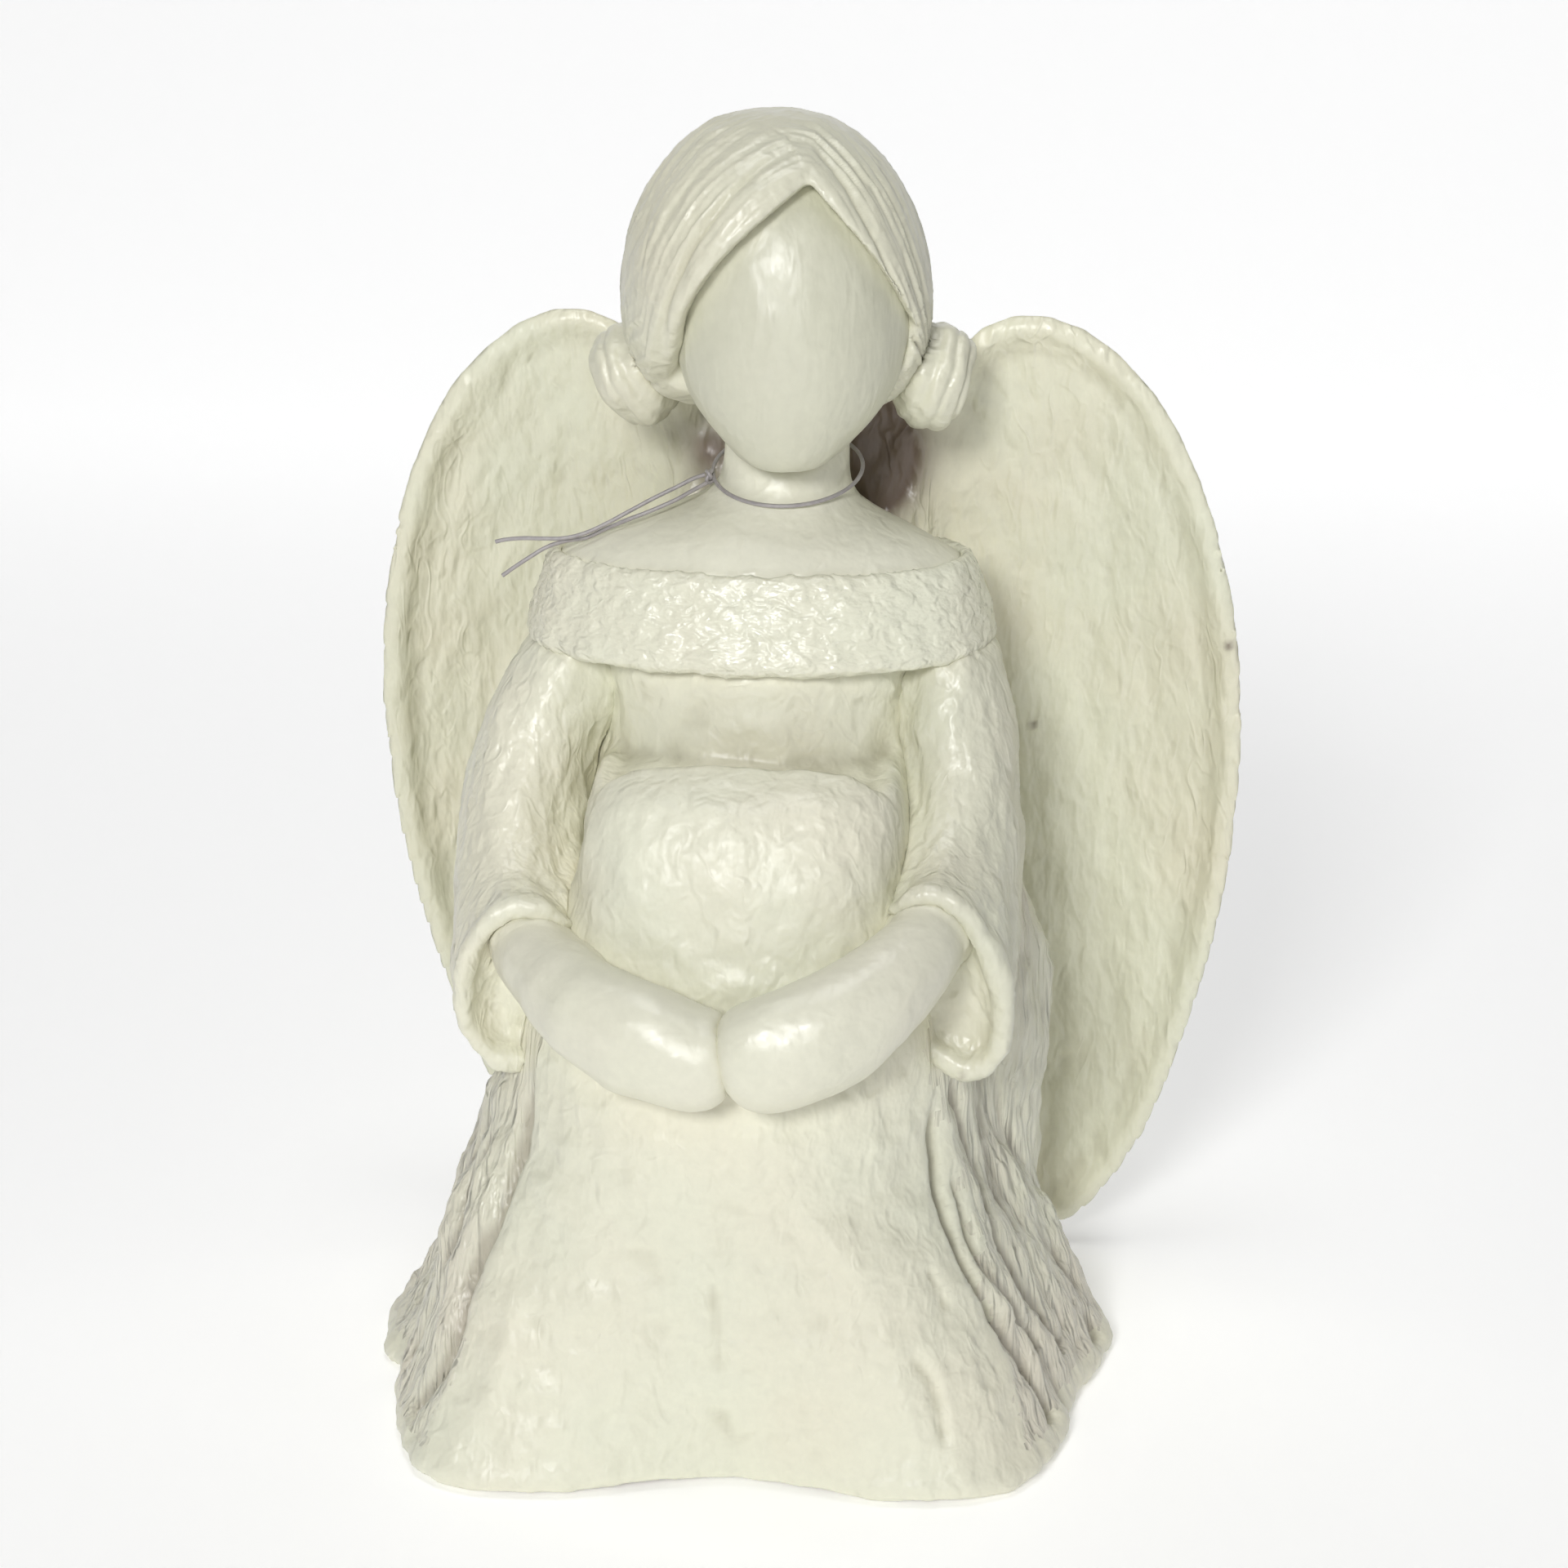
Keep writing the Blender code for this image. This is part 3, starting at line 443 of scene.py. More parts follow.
def stroke_tree():
    """The node group that presses strokes into a mesh."""
    tree = bpy.data.node_groups.new("hand_modelled_surface", "GeometryNodeTree")
    face = tree.interface
    face.new_socket("Geometry", in_out="INPUT", socket_type="NodeSocketGeometry")
    for label, kind, value in (("Stroke Width", "Float", 2.0), ("Stroke Length", "Float", 6.0),
                               ("Stroke Depth", "Float", 0.2), ("Lip Height", "Float", 0.1),
                               ("Lean", "Vector", (0, 0, 0)), ("Seed", "Float", 1.0),
                               ("Touch", "String", "touch"), ("Material", "Material", None)):
        socket = face.new_socket(label, in_out="INPUT", socket_type="NodeSocket" + kind)
        if value is not None:
            socket.default_value = value
    face.new_socket("Geometry", in_out="OUTPUT", socket_type="NodeSocketGeometry")
    given = add(tree, "NodeGroupInput").outputs
    in_mm = add(tree, VECTOR, {"operation": "SCALE"}, i0=add(tree, "GeometryNodeInputPosition").outputs[0],
                Scale=1 / MM)
    leaned = add(tree, "ShaderNodeVectorRotate", {"rotation_type": "EULER_XYZ"}, Vector=in_mm.outputs[0],
                 Rotation=given["Lean"])
    wide = given["Stroke Width"]
    cell = add(tree, "ShaderNodeCombineXYZ", X=wide, Y=wide, Z=given["Stroke Length"])
    daub = add(tree, VECTOR, {"operation": "DIVIDE"}, i0=leaned.outputs[0], i1=cell.outputs[0])
    bend = add(tree, NOISE, Vector=daub.outputs[0], Scale=0.3, Detail=1.0)
    sway = add(tree, VECTOR, {"operation": "SCALE"}, i0=bend.outputs["Color"], Scale=2.2)
    spot = add(tree, VECTOR, {"operation": "ADD"}, i0=daub.outputs[0], i1=sway.outputs[0])
    swell = add(tree, NOISE, {"noise_dimensions": "4D"}, Vector=spot.outputs[0], W=given["Seed"],
                Scale=0.5, Detail=1.5, Roughness=0.45)
    layers = add(tree, MATHS, {"operation": "MULTIPLY"}, i0=swell.outputs[0], i1=float(STEPS_PER_SWELL))
    below = add(tree, MATHS, {"operation": "FLOOR"}, i0=layers.outputs[0])
    part = add(tree, MATHS, {"operation": "FRACT"}, i0=layers.outputs[0])
    rise = add(tree, RANGE, SOFT, Value=part.outputs[0], From_Max=0.4)
    stair = add(tree, MATHS, {"operation": "ADD"}, i0=below.outputs[0], i1=rise.outputs[0])
    centred = add(tree, MATHS, {"operation": "MULTIPLY_ADD"}, i0=stair.outputs[0],
                  i1=1 / STEPS_PER_SWELL, i2=-0.55)
    trail = add(tree, NOISE, {"noise_dimensions": "4D"}, Vector=spot.outputs[0],
                W=add(tree, MATHS, i0=given["Seed"], i1=7.3).outputs[0], Scale=0.62, Detail=1.0)
    off_trail = add(tree, MATHS, {"operation": "SUBTRACT"}, i0=trail.outputs[0], i1=0.5)
    gap = add(tree, MATHS, {"operation": "ABSOLUTE"}, i0=off_trail.outputs[0])
    lip = add(tree, RANGE, SOFT, Value=gap.outputs[0],
              From_Max=0.035, To_Min=1.0, To_Max=0.0)
    where = add(tree, RANGE, Value=swell.outputs[0], From_Min=0.44, From_Max=0.6)
    edge = add(tree, MATHS, {"operation": "MULTIPLY"}, i0=lip.outputs[0], i1=where.outputs[0])
    raised = add(tree, MATHS, {"operation": "MULTIPLY"}, i0=edge.outputs[0], i1=given["Lip Height"])
    deep = add(tree, MATHS, {"operation": "MULTIPLY"}, i0=given["Stroke Depth"], i1=3.0)
    height = add(tree, MATHS, {"operation": "MULTIPLY_ADD"}, i0=centred.outputs[0], i1=deep.outputs[0],
                 i2=raised.outputs[0])
    touch = add(tree, "GeometryNodeInputNamedAttribute", {"data_type": "FLOAT"}, Name=given["Touch"])
    worked = add(tree, MATHS, {"operation": "MULTIPLY"}, i0=height.outputs[0], i1=touch.outputs[0])
    metres = add(tree, MATHS, {"operation": "MULTIPLY"}, i0=worked.outputs[0], i1=MM)
    offset = add(tree, VECTOR, {"operation": "SCALE"}, i0=add(tree, "GeometryNodeInputNormal").outputs[0],
                 Scale=metres.outputs[0])
    moved = add(tree, "GeometryNodeSetPosition", Geometry=given["Geometry"], Offset=offset.outputs[0])
    real = add(tree, "GeometryNodeRealizeInstances", Geometry=moved.outputs[0])
    painted = add(tree, "GeometryNodeSetMaterial", Geometry=real.outputs[0], Material=given["Material"])
    add(tree, "NodeGroupOutput", Geometry=painted.outputs[0])
    return tree


STROKES = stroke_tree()
print("stroke tree nodes:", len(STROKES.nodes))

# %% [markdown]
# ## Finishing a casting
# The last step is the same for each: measure how hollow every point is, so that paint can gather there
# and painted shade can darken it, run the stroke tree, keep its result as a plain mesh, and hide the piece
# of the frame it stands for.

# %% Hollows, strokes and the frame
def write_attribute(obj, name, values):
    layer = obj.data.attributes.get(name) or obj.data.attributes.new(name, "FLOAT", "POINT")
    layer.data.foreach_set("value", np.asarray(values, dtype=np.float32))


def hollowness(obj, rounds=14):
    """How far each point lies below the smoothed surface round it, in millimetres."""
    mean = neighbour_mean(obj)
    spots = points_of(obj)
    eased = spots
    for _ in range(rounds):
        eased = mean(eased)
    return np.einsum("ij,ij->i", eased - spots, normals_of(obj))


def bulge(spots, centre, reach):
    """A soft mound, 1 at its centre."""
    return np.exp(-np.sum((spots - np.array(centre)) ** 2, axis=1) / reach ** 2)


BARE_AND_SHADED_SPOTS = {      # where little spray reached or it chipped and the brown resin shows, and painted shade on the wing roots and rims: centre, reach, how brown
    "wing_left": [((18, 22.5, 180), 9.0, 1.4), ((15, 22, 190), 8, 0.8), ((15, 24, 172), 6, 1.0),
                  ((86.7, 24.8, 143.4), 0.9, 1.2), ((47.5, 38.8, 121.5), 0.8, 0.9)],
    "wing_right": [((-19.5, 22.3, 182), 6.0, 0.6), ((-14, 22, 182), 6, 0.5), ((-17, 24, 174), 6, 0.5)],
    "sleeve_left": [((39.0, -43.6, 76.6), 0.8, 0.9)],
}


def finish_casting(obj, node, finish, passes, rougher=None, where=None, shaded=0.0):
    """Strokes, paint and a place in the frame for one casting. A pass is one way of working the clay, as
    (touch, width, length, depth, lip, lean in degrees, seed), and touch is 0 to 1 for each point. Rougher
    is a second paint for the faces where a point value is above a half, and shaded is painted shade that
    adds to the darker paint of the hollows."""
    for i, (touch, width, length, depth, lip, lean, seed) in enumerate(passes):
        write_attribute(obj, f"touch_{i}", np.broadcast_to(touch, len(obj.data.vertices)))
        worked = obj.modifiers.new(f"strokes {i}", "NODES")
        worked.node_group = STROKES
        values = {"Stroke Width": width, "Stroke Length": length, "Stroke Depth": depth, "Lip Height": lip,
                  "Lean": tuple(math.radians(v) for v in lean), "Seed": float(seed), "Touch": f"touch_{i}",
                  "Material": finish}
        for item in STROKES.interface.items_tree:
            if item.in_out == "INPUT" and item.name in values:
                worked[item.identifier] = values[item.name]
    before = obj.data
    obj.data = bpy.data.meshes.new_from_object(obj.evaluated_get(bpy.context.evaluated_depsgraph_get()))
    obj.modifiers.clear()
    bpy.data.meshes.remove(before)
    obj.data.name = obj.name
    obj.data.materials.clear()
    obj.data.materials.append(finish)
    if rougher:
        obj.data.materials.append(rougher)
        corners = np.empty(len(obj.data.loops), dtype=np.int64)
        obj.data.loops.foreach_get("vertex_index", corners)
        starts = np.empty(len(obj.data.polygons), dtype=np.int64)
        obj.data.polygons.foreach_get("loop_start", starts)
        obj.data.polygons.foreach_set("material_index", (where[corners[starts]] > 0.5).astype(np.int32))
    bare_and_shade = np.zeros(len(obj.data.vertices))
    for centre, reach, amount in BARE_AND_SHADED_SPOTS.get(node, []):
        bare_and_shade += bulge(points_of(obj), centre, reach) * amount
    # Painted shade as well as unpainted resin: the brown goes mostly on faces turned towards the front.
    write_attribute(obj, "bare_and_shade", np.clip(bare_and_shade, 0, 1) * step(-normals_of(obj)[:, 1], -0.2, 0.3))
    for i in range(len(passes)):
        obj.data.attributes.remove(obj.data.attributes[f"touch_{i}"])
    # Painted shade: hollows and the shaded values darken the paint there, together with paint gathered in
    # them.
    write_attribute(obj, "hollow", np.clip(hollowness(obj) + shaded, 0, 1))
    obj.data.shade_smooth()
    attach(obj, "root")
    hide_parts(node)
    print(f"{obj.name}: {len(obj.data.polygons) * 2} triangles")


# %% [markdown]
# ## The gown
# The gown is the big casting: the seated body, the lap and the skirt down to the floor. The sculptor
# pinched long fan folds into both sides of the skirt, deepest beside the front panel, and dragged a few
# creases down the front. The lap was a separate slab of clay, so a groove runs behind it.

# %% Gown folds
# Each fold is the line of its valley in bench millimetres, its half width, its depth and where it starts
FOLDS = [
    ([(-41, -48.9, 76), (-46.0, -50.3, 57.9), (-49.5, -54.7, 45.3), (-54.1, -56.1, 34.3),
      (-57.5, -60.5, 22.4), (-66.6, -58.4, 6.4)], 2.1, 4.2, 0.15),
    ([(-46.6, -42.8, 70.3), (-54.5, -42.6, 50.0), (-57.3, -46, 40.2), (-61.6, -45, 30.2),
      (-67.4, -43.5, 14.3), (-69.3, -44.4, 8.1)], 1.8, 3.2, 0.2),
    ([(-49.3, -40.7, 65.1), (-56.2, -34.5, 50.3), (-61.4, -31.8, 36.2), (-67, -28, 20)], 1.9, 2.6, 0.25),
    ([(33.2, -43.5, 73.0), (34.4, -44, 60.6), (36.6, -46.3, 52.6), (43.2, -48.8, 36.4), (49.2, -46.7, 25.5),
      (56.1, -43.6, 11.1), (58.5, -43.6, 5.4)], 2.1, 4.0, 0.15),
    ([(36.5, -41.2, 60.2), (40.7, -42.1, 48.0), (44.7, -43.6, 39.3), (50.2, -39.6, 27.1),
      (55.1, -35.1, 16.3)], 1.7, 3.0, 0.2),
    ([(41.6, -27.1, 56.3), (46.3, -32.2, 40.1), (52.5, -28.9, 24.9), (57.9, -23.8, 10.2)], 2.2, 3.2, 0.25),
    ([(36.7, -35.6, 72.9), (38.9, -30.8, 59.8), (41.5, -30.4, 50.7)], 1.5, 2.0, 0.2),
    ([(46, -10, 60), (54, -8, 40), (61, -8, 20), (66, -8, 4)], 3.0, 2.0, 0.4),
    ([(-62, 6, 56), (-66, 8, 34), (-70, 8, 12)], 3.4, 2.0, 0.4),
    ([(-30, 40, 90), (-36, 44, 60), (-44, 46, 30), (-48, 47, 8)], 3.2, 2.2, 0.4),
    ([(-4, 48, 92), (-6, 54, 60), (-5, 58, 30), (-8, 60, 8)], 3.6, 2.0, 0.4),
    ([(26, 40, 88), (32, 44, 58), (40, 46, 30), (46, 46, 8)], 3.2, 2.2, 0.4),
]
# Shallow creases over the front panel and the lap, in the same form; a negative depth is a raised line
CREASES = [
    ([(-6, -65.3, 43), (-4.8, -65.4, 33.5), (-3.7, -66, 22)], 1.1, 0.8, 0.3),
    ([(-4, -65.8, 16.5), (-1.5, -66.2, 9.6), (4, -66.7, 13)], 0.9, 0.5, 0.2),
    ([(31, -64.0, 28.9), (35.4, -64.2, 23.0), (37.7, -65.9, 15.4), (38.4, -66.3, 11)], 1.1, 1.4, 0.2),
    ([(33.6, -56.5, 43.7), (38.7, -57.1, 33.8)], 1.0, 1.1, 0.2),
    ([(34.7, -50.9, 50.4), (38.7, -50.5, 43.4), (42.8, -51.0, 35.2), (46.6, -48.2, 29.8)], 1.0, -0.9, 0.2),
    ([(-40, -62, 43), (-44, -66, 27), (-50, -71.5, 11)], 3.0, -1.2, 0.3),
    ([(-12, -66, 58), (-10, -67, 44), (-12, -69, 30)], 4.0, -0.6, 0.4),
    ([(10, -66, 56), (14, -67, 40), (20, -69, 24)], 5.0, 0.7, 0.4),
]
BULGES = [((-58, -39, 44), 15, 3.0), ((50, -24, 44), 14, -1.3)]     # centre, reach, height
GOWN_AXIS = (-5, -10)
PANEL_Z = (2, 80)                   # the front panel narrows from the hem up to the hands, with these edges
PANEL_RIGHT_X = (-60, -38)
PANEL_LEFT_X = (55, 31)
FAN_LEFT, FAN_RIGHT = -140, -33     # bearing of the deepest fold on each side, in degrees
FAN_DEGREES = 7.5                   # between two pinched folds at the hem
FAN_TOP_Z = 92
FAN_DEEP = 0.8
FOOT_HIGH, FOOT_Z = 0.7, 3          # the hem's rounded foot

gown = skin("gown_surface", "gown", voxel=1.19, rounds=22)
spots = points_of(gown)
x, y, z = spots.T
bearing = np.degrees(np.arctan2(y - GOWN_AXIS[1], x - GOWN_AXIS[0]))
down = np.clip((FAN_TOP_Z - z) / FAN_TOP_Z, 0, 1)
fan = np.where(x < GOWN_AXIS[0], bearing - FAN_LEFT, bearing - FAN_RIGHT) / (0.35 + 0.65 * down)
pinch = np.abs(np.cos(math.pi * (fan / FAN_DEGREES + 0.35 * ripple(spots, 40, 4)))) ** 0.7
past_panel = np.maximum(np.interp(z, PANEL_Z, PANEL_RIGHT_X) - x, x - np.interp(z, PANEL_Z, PANEL_LEFT_X))
side = np.maximum(step(past_panel, -3, 4), step(y, -12, 6)) * step(-z, -112, -84)
press = np.zeros(len(spots))
shaded = np.zeros(len(spots))
for line, width, depth, start in FOLDS:
    fold = pressed(spots, line, width, depth, fade_in=start, fade_out=0.02, crisp=1.4)
    # Painted shade: each fold valley darkens its paint, the more the deeper it is.
    shaded = np.maximum(shaded, (-fold / depth) ** 1.5)
    press += fold
for line, width, depth, start in CREASES:
    press += pressed(spots, line, width, depth, fade_in=start, fade_out=start)
press += FAN_DEEP * side * step(down, 0.12, 0.45) * step(-y, -16, 4) * (pinch - 0.75)
for centre, reach, height in BULGES:
    press += height * bulge(spots, centre, reach)
drawn_down = np.stack([x, y, 0.22 * z], axis=1)
press += 0.5 * ripple(spots, 26, 5) + 0.2 * ripple(spots, 10, 6)
press += (0.3 + 0.9 * side) * (0.55 * ripple(drawn_down, 11, 9) + 0.35 * np.abs(ripple(drawn_down, 7, 10)))
foot = FOOT_HIGH * np.exp(-((z - FOOT_Z) / 2.5) ** 2)
push(gown, press + foot * step(z, 0.2, 1.5) + 0.25)
print("gown points:", len(spots))

# %% The step behind the lap
LAP_EDGE_Y = -38.5          # the lap ends in a crisp edge, and the bodice rises from lower down behind it
LAP_DROP = 4.6
LAP_RIM = [(-31, -33, 129), (-26, -37.5, 131.5), (-18, -39.4, 132.8), (-4, -39.6, 133.6), (9, -38.6, 133.2),
           (17, -37, 131.6), (22, -33, 129)]
WRINKLES = [                # on the lap and the bodice: line, half width, depth
    ([(3, -41, 131.5), (9, -43.5, 129), (14, -44, 126)], 0.9, 0.9),
    ([(9, -39, 132), (15, -41, 129.5)], 0.8, 0.8),
    ([(-22, -42, 130), (-14, -45, 128.5), (-6, -45, 129)], 1.2, 0.6),
    ([(-26, -41, 126), (-27, -46, 117)], 1.2, 0.8),
    ([(18, -40, 127), (21, -44, 118), (22, -46, 108)], 1.3, 0.9),
    ([(-20, -26, 143), (0, -28, 144), (16, -26, 142)], 1.0, 0.7),
    ([(-16, -26, 149), (4, -28, 150.5), (18, -25, 148)], 0.9, 0.6),
    ([(-24, -25, 139), (-8, -27.5, 138)], 1.0, 0.7),
    ([(-6, -27, 155), (14, -26.5, 154)], 0.8, 0.6),
]
WELDS = [((-38, -43, 80), 7, 2.4), ((27, -44, 84), 6, 1.6)]     # clay smeared up to the cuffs, as bulges
spots = points_of(gown)
x, y, z = spots.T
across = step(x, -33, -27) * step(-x, -25, -19)
behind = step(y, LAP_EDGE_Y - 0.8, LAP_EDGE_Y + 4) * step(z, 122, 128) * step(-z, -144, -135)
spots[:, 2] -= LAP_DROP * across * behind
set_points(gown, spots)
spots = points_of(gown)
change = pressed(spots, LAP_RIM, 2.0, -0.6, 0.08, 0.08)
for line, width, depth in WRINKLES:
    change += pressed(spots, line, width, depth, 0.25, 0.25, crisp=1.3)
for centre, reach, height in WELDS:
    change += height * bulge(spots, centre, reach)
push(gown, change)
relax(gown, 1)

# %% Gown finish
HEM_CLEARANCE = 0.35
spots = points_of(gown)
spots[:, 2] = np.maximum(spots[:, 2], HEM_CLEARANCE)
set_points(gown, spots)
z = spots[:, 2]
bodice = step(z, 134, 139)
off_foot = 0.3 + 0.7 * step(z, 5, 11)
finish_casting(gown, "gown", LACQUER, [
    (side * off_foot, 2.8, 22.0, 1.1, 0.3, (8, 0, 0), 3),
    ((1 - side) * (1 - bodice) * off_foot, 3.4, 6.0, 0.45, 0.16, (0, 55, 20), 4),
    (bodice, 2.4, 6.5, 0.9, 0.35, (0, 84, 0), 5),
    (off_foot, 7.0, 12.0, 0.34, 0.0, (0, 20, 0), 6),
], shaded=0.75 * shaded, rougher=BARK_LACQUER, where=side * step(z, 4, 8) + 0.2 * ripple(spots, 7, 8))

# %% [markdown]
# ## Shoulders and face
# The collar is a loose band of clay laid round the shoulders, dabbed all over with a fingertip. The bust
# is one smooth form from the shoulders up into the neck, and the head is a plain egg: the figure is
# faceless by design.

# %% Collar, bust and head
collar = skin("collar_surface", "collar", voxel=0.7, rounds=10)
spots = points_of(collar)
push(collar, 0.3 * ripple(spots, 16, 11) + 0.14 * ripple(spots, 6, 12) + 0.2)
weld(collar, gown, reach=2.0)
finish_casting(collar, "collar", DABBED_LACQUER, [
    (1.0, 1.6, 3.4, 0.3, 0.25, (0, 30, 15), 7), (1.0, 4, 7, 0.3, 0, (0, 80, 0), 8)])

bust = skin("bust_surface", "bust", voxel=0.8, rounds=14)
push(bust, np.full(len(bust.data.vertices), 0.35))
weld(bust, collar, reach=1.8, overlap=0.0)
finish_casting(bust, "bust", BUST_LACQUER, [
    (1.0, 1.8, 7.0, 0.08, 0.04, (0, 88, 0), 9), (1.0, 6, 6, 0.12, 0, (0, 0, 0), 10)])

CHIN_LIFT = 2.3
FACE_STROKES = [([(-2.6, -27, 221), (-1.4, -28, 215), (-2.2, -28, 209)], 0.7, -0.35),
                ([(0.2, -28, 218), (1.4, -28, 212), (0.4, -28, 206)], 0.8, -0.3)]
head = skin("head_surface", "head", voxel=0.75, rounds=20)
spots = points_of(head)
spots[:, 2] += CHIN_LIFT * step(-spots[:, 2], -201, -186)
set_points(head, spots)
push(head, 0.3 + sum(pressed(spots, line, width, depth, 0.3, 0.3) for line, width, depth in FACE_STROKES))
finish_casting(head, "head", FACE_LACQUER, [
    (1.0, 3.2, 7.0, 0.18, 0.06, (0, 10, 0), 13), (1.0, 9, 9, 0.2, 0, (0, 0, 0), 14)])

# %% [markdown]
# ## Hair
# The hair is combed from a parting above the brow, down both sides and back to a bun behind each jaw. A
# strand is a line that always stays the same way round from the buns, so the angle about the bun-to-bun
# line numbers the strands. Near the face they bend to run beside the hairline, as a comb would lay them.

# %% Combed strands
HAIRLINES = {
    "right": [(7.2, 238.6), (0, 232.8), (-7.4, 226), (-13.5, 218.4), (-18.8, 209.6), (-22.4, 201),
              (-24, 192)],
    "left": [(7.2, 238.6), (13.4, 232), (19.2, 225), (23.6, 217.2), (26.6, 209.4), (28.6, 201),
             (29.6, 192)],
}
JAW_Z, BROW_Z = 192, 226    # the hairline's foot, and where it turns back over the brow
JAW_Y = -22
CHEEK_Y = 7                 # how far the face stands out between the two
BUN_LINE = (7.5, 199)       # y and z of the line through both buns
PARTING_Y = (-25, 8)        # from the brow to the crown
PARTING_X = (7.2, -9)       # the parting drifts over towards the right as it goes back
LOCK_EDGE = 0.19            # the smooth lock beside the face is this wide, in radians about the bun line
HEAD_R = 38                 # from the bun line out to the hair, to turn strand widths into angles
HEAD_MIDDLE = (-1.3, -1, 214)
WIDE_STRAND = 3.4
FINE_STRAND = 1.3
hair = skin("hair_surface", "hair_cap", voxel=0.475, rounds=14)


def strand_numbers(spots):
    """An angle in radians that stays the same along a strand, and how far it lies past the face's edge."""
    turn = np.arctan2(spots[:, 2] - BUN_LINE[1], BUN_LINE[0] - spots[:, 1])
    turn = np.where(turn < -math.pi / 2, turn + 2 * math.pi, turn)
    middle = np.interp(spots[:, 1], PARTING_Y, PARTING_X)
    edge = np.zeros(len(spots))
    for side, line in HAIRLINES.items():
        xs, zs = np.array(line).T
        out = CHEEK_Y * np.sin(np.clip((zs - JAW_Z) / 30, 0, 1) * math.pi / 2)
        ys = JAW_Y - out + np.clip(zs - BROW_Z, 0, 20) * 0.45
        angles = np.arctan2(zs - BUN_LINE[1], BUN_LINE[0] - ys)
        order = np.argsort(xs)
        here = np.interp(spots[:, 0], xs[order], angles[order])
        mine = spots[:, 0] < middle if side == "right" else spots[:, 0] >= middle
        edge = np.where(mine, here, edge)
    past = np.clip(turn - edge, 0, None)
    return turn - edge * np.exp(-past / 0.9), past, np.abs(spots[:, 0] - middle)


spots = points_of(hair)
number, past, from_parting = strand_numbers(spots)
sway = 0.012 * ripple(spots, 22, 21)
across_mm = (number + sway) * HEAD_R
combed = np.stack([across_mm, spots[:, 0] * 0.07, 0.05 * spots[:, 2]], axis=1)      # drawn out along them
wide = 1 - np.abs(ripple(combed, WIDE_STRAND * 2.2, 26))
fine = 1 - np.abs(ripple(combed, FINE_STRAND * 2.2, 27))
patchy = 0.75 + 0.35 * ripple(spots, 20, 22)
crown = 0.35 + 0.65 * np.maximum(step(from_parting, 1, 9), step(-spots[:, 2], -246, -236))
strands = 0.85 * (wide - 0.6) + 0.4 * (fine - 0.6)
comb = step(past, LOCK_EDGE - 0.02, LOCK_EDGE + 0.05) * crown * patchy * strands
streak = 0.25 * (1 - step(past, LOCK_EDGE - 0.05, LOCK_EDGE)) * (fine - 0.5)
groove = -1.0 * np.exp(-((past - LOCK_EDGE) / 0.028) ** 2) * (0.35 + 0.65 * step(from_parting, 2, 12))
over_jaw = step(spots[:, 2], 199, 207)
lip = 0.6 * over_jaw * np.exp(-((past - 0.08) / 0.07) ** 2)
away = spots - np.array(HEAD_MIDDLE)
away /= np.linalg.norm(away, axis=1)[:, None]
outer = step(np.einsum("ij,ij->i", away, normals_of(hair)), 0.1, 0.45)
push(hair, outer * (comb + streak + groove + lip) + 0.1)
cheek = step(-spots[:, 0], 4, 9) * step(-spots[:, 2], -222, -206)      # the lock melts into the right cheek
weld(hair, head, reach=7.0, overlap=-0.3, strength=0.95 * cheek * step(0.24 - past, 0, 0.12))
weld(hair, head, reach=1.5, overlap=0.1)
relax(hair, 6, hold=1 - cheek * step(0.42 - past, 0, 0.15))
finish_casting(hair, "hair_cap", HAIR_LACQUER, [
    (0.3 + 0.7 * outer, 1.3, 4.5, 0.1, 0.08, (0, 0, 0), 25), (outer, 6, 9, 0.25, 0, (0, 30, 0), 28)])

# %% [markdown]
# ## Buns
# Each bun is a fat strip of clay rolled up like a pastry and pressed on behind the jaw, so its groove is
# a spiral.

# %% Rolled buns
BUNS = {                    # middle, the way it faces, and which way round it is rolled
    "left": ((28.2, 7.5, 199.2), (0.82, 0.2, -0.3), 1),
    "right": ((-29.8, 7.5, 198.6), (-0.82, 0.2, -0.42), -1),
}
ROLL_MM = 4.2               # thickness of the rolled strip
BUN_EDGE_MM = (7.5, 9.3)    # the flat top ends and the rim begins
for name, (centre, facing, hand) in BUNS.items():
    bun = skin(f"bun_{name}_surface", f"bun_{name}", voxel=0.42, rounds=12)
    spots = points_of(bun)
    axis = np.array(facing) / np.linalg.norm(facing)
    across = np.cross(axis, (0, 0, 1))
    across /= np.linalg.norm(across)
    upward = np.cross(across, axis)
    arm = spots - np.array(centre)
    u, v, out = arm @ across, arm @ upward, arm @ axis
    radius = np.hypot(u, v)
    coil = radius / ROLL_MM - hand * np.arctan2(v, u) / (2 * math.pi)
    seam = np.exp(-((coil - np.round(coil)) / 0.13) ** 2)
    rim = step(radius, *BUN_EDGE_MM)
    wrap = np.exp(-((out - 1.2 + 0.8 * ripple(spots, 12, 32)) / 0.8) ** 2) * rim
    fold = np.exp(-((out + 2.6) / 0.9) ** 2) * rim
    push(bun, -0.8 * seam * step(out, 1.5, 4) * step(radius, 1.0, 2.5) - 0.6 * wrap - 0.4 * fold
         + 0.4 * ripple(spots, 9, 31) + 0.15)
    weld(bun, hair, reach=1.8)
    finish_casting(bun, f"bun_{name}", HAIR_LACQUER, [(1.0, 1.5, 4.0, 0.2, 0.1, (0, 0, 20), 33)])

# %% [markdown]
# ## Sleeves and hands
# A sleeve is a bent tube of clay that widens to an open cuff with a rolled lip. The forearms come out of
# the cuffs as plain mitten shapes that meet in the lap, the left hand laid over the right.

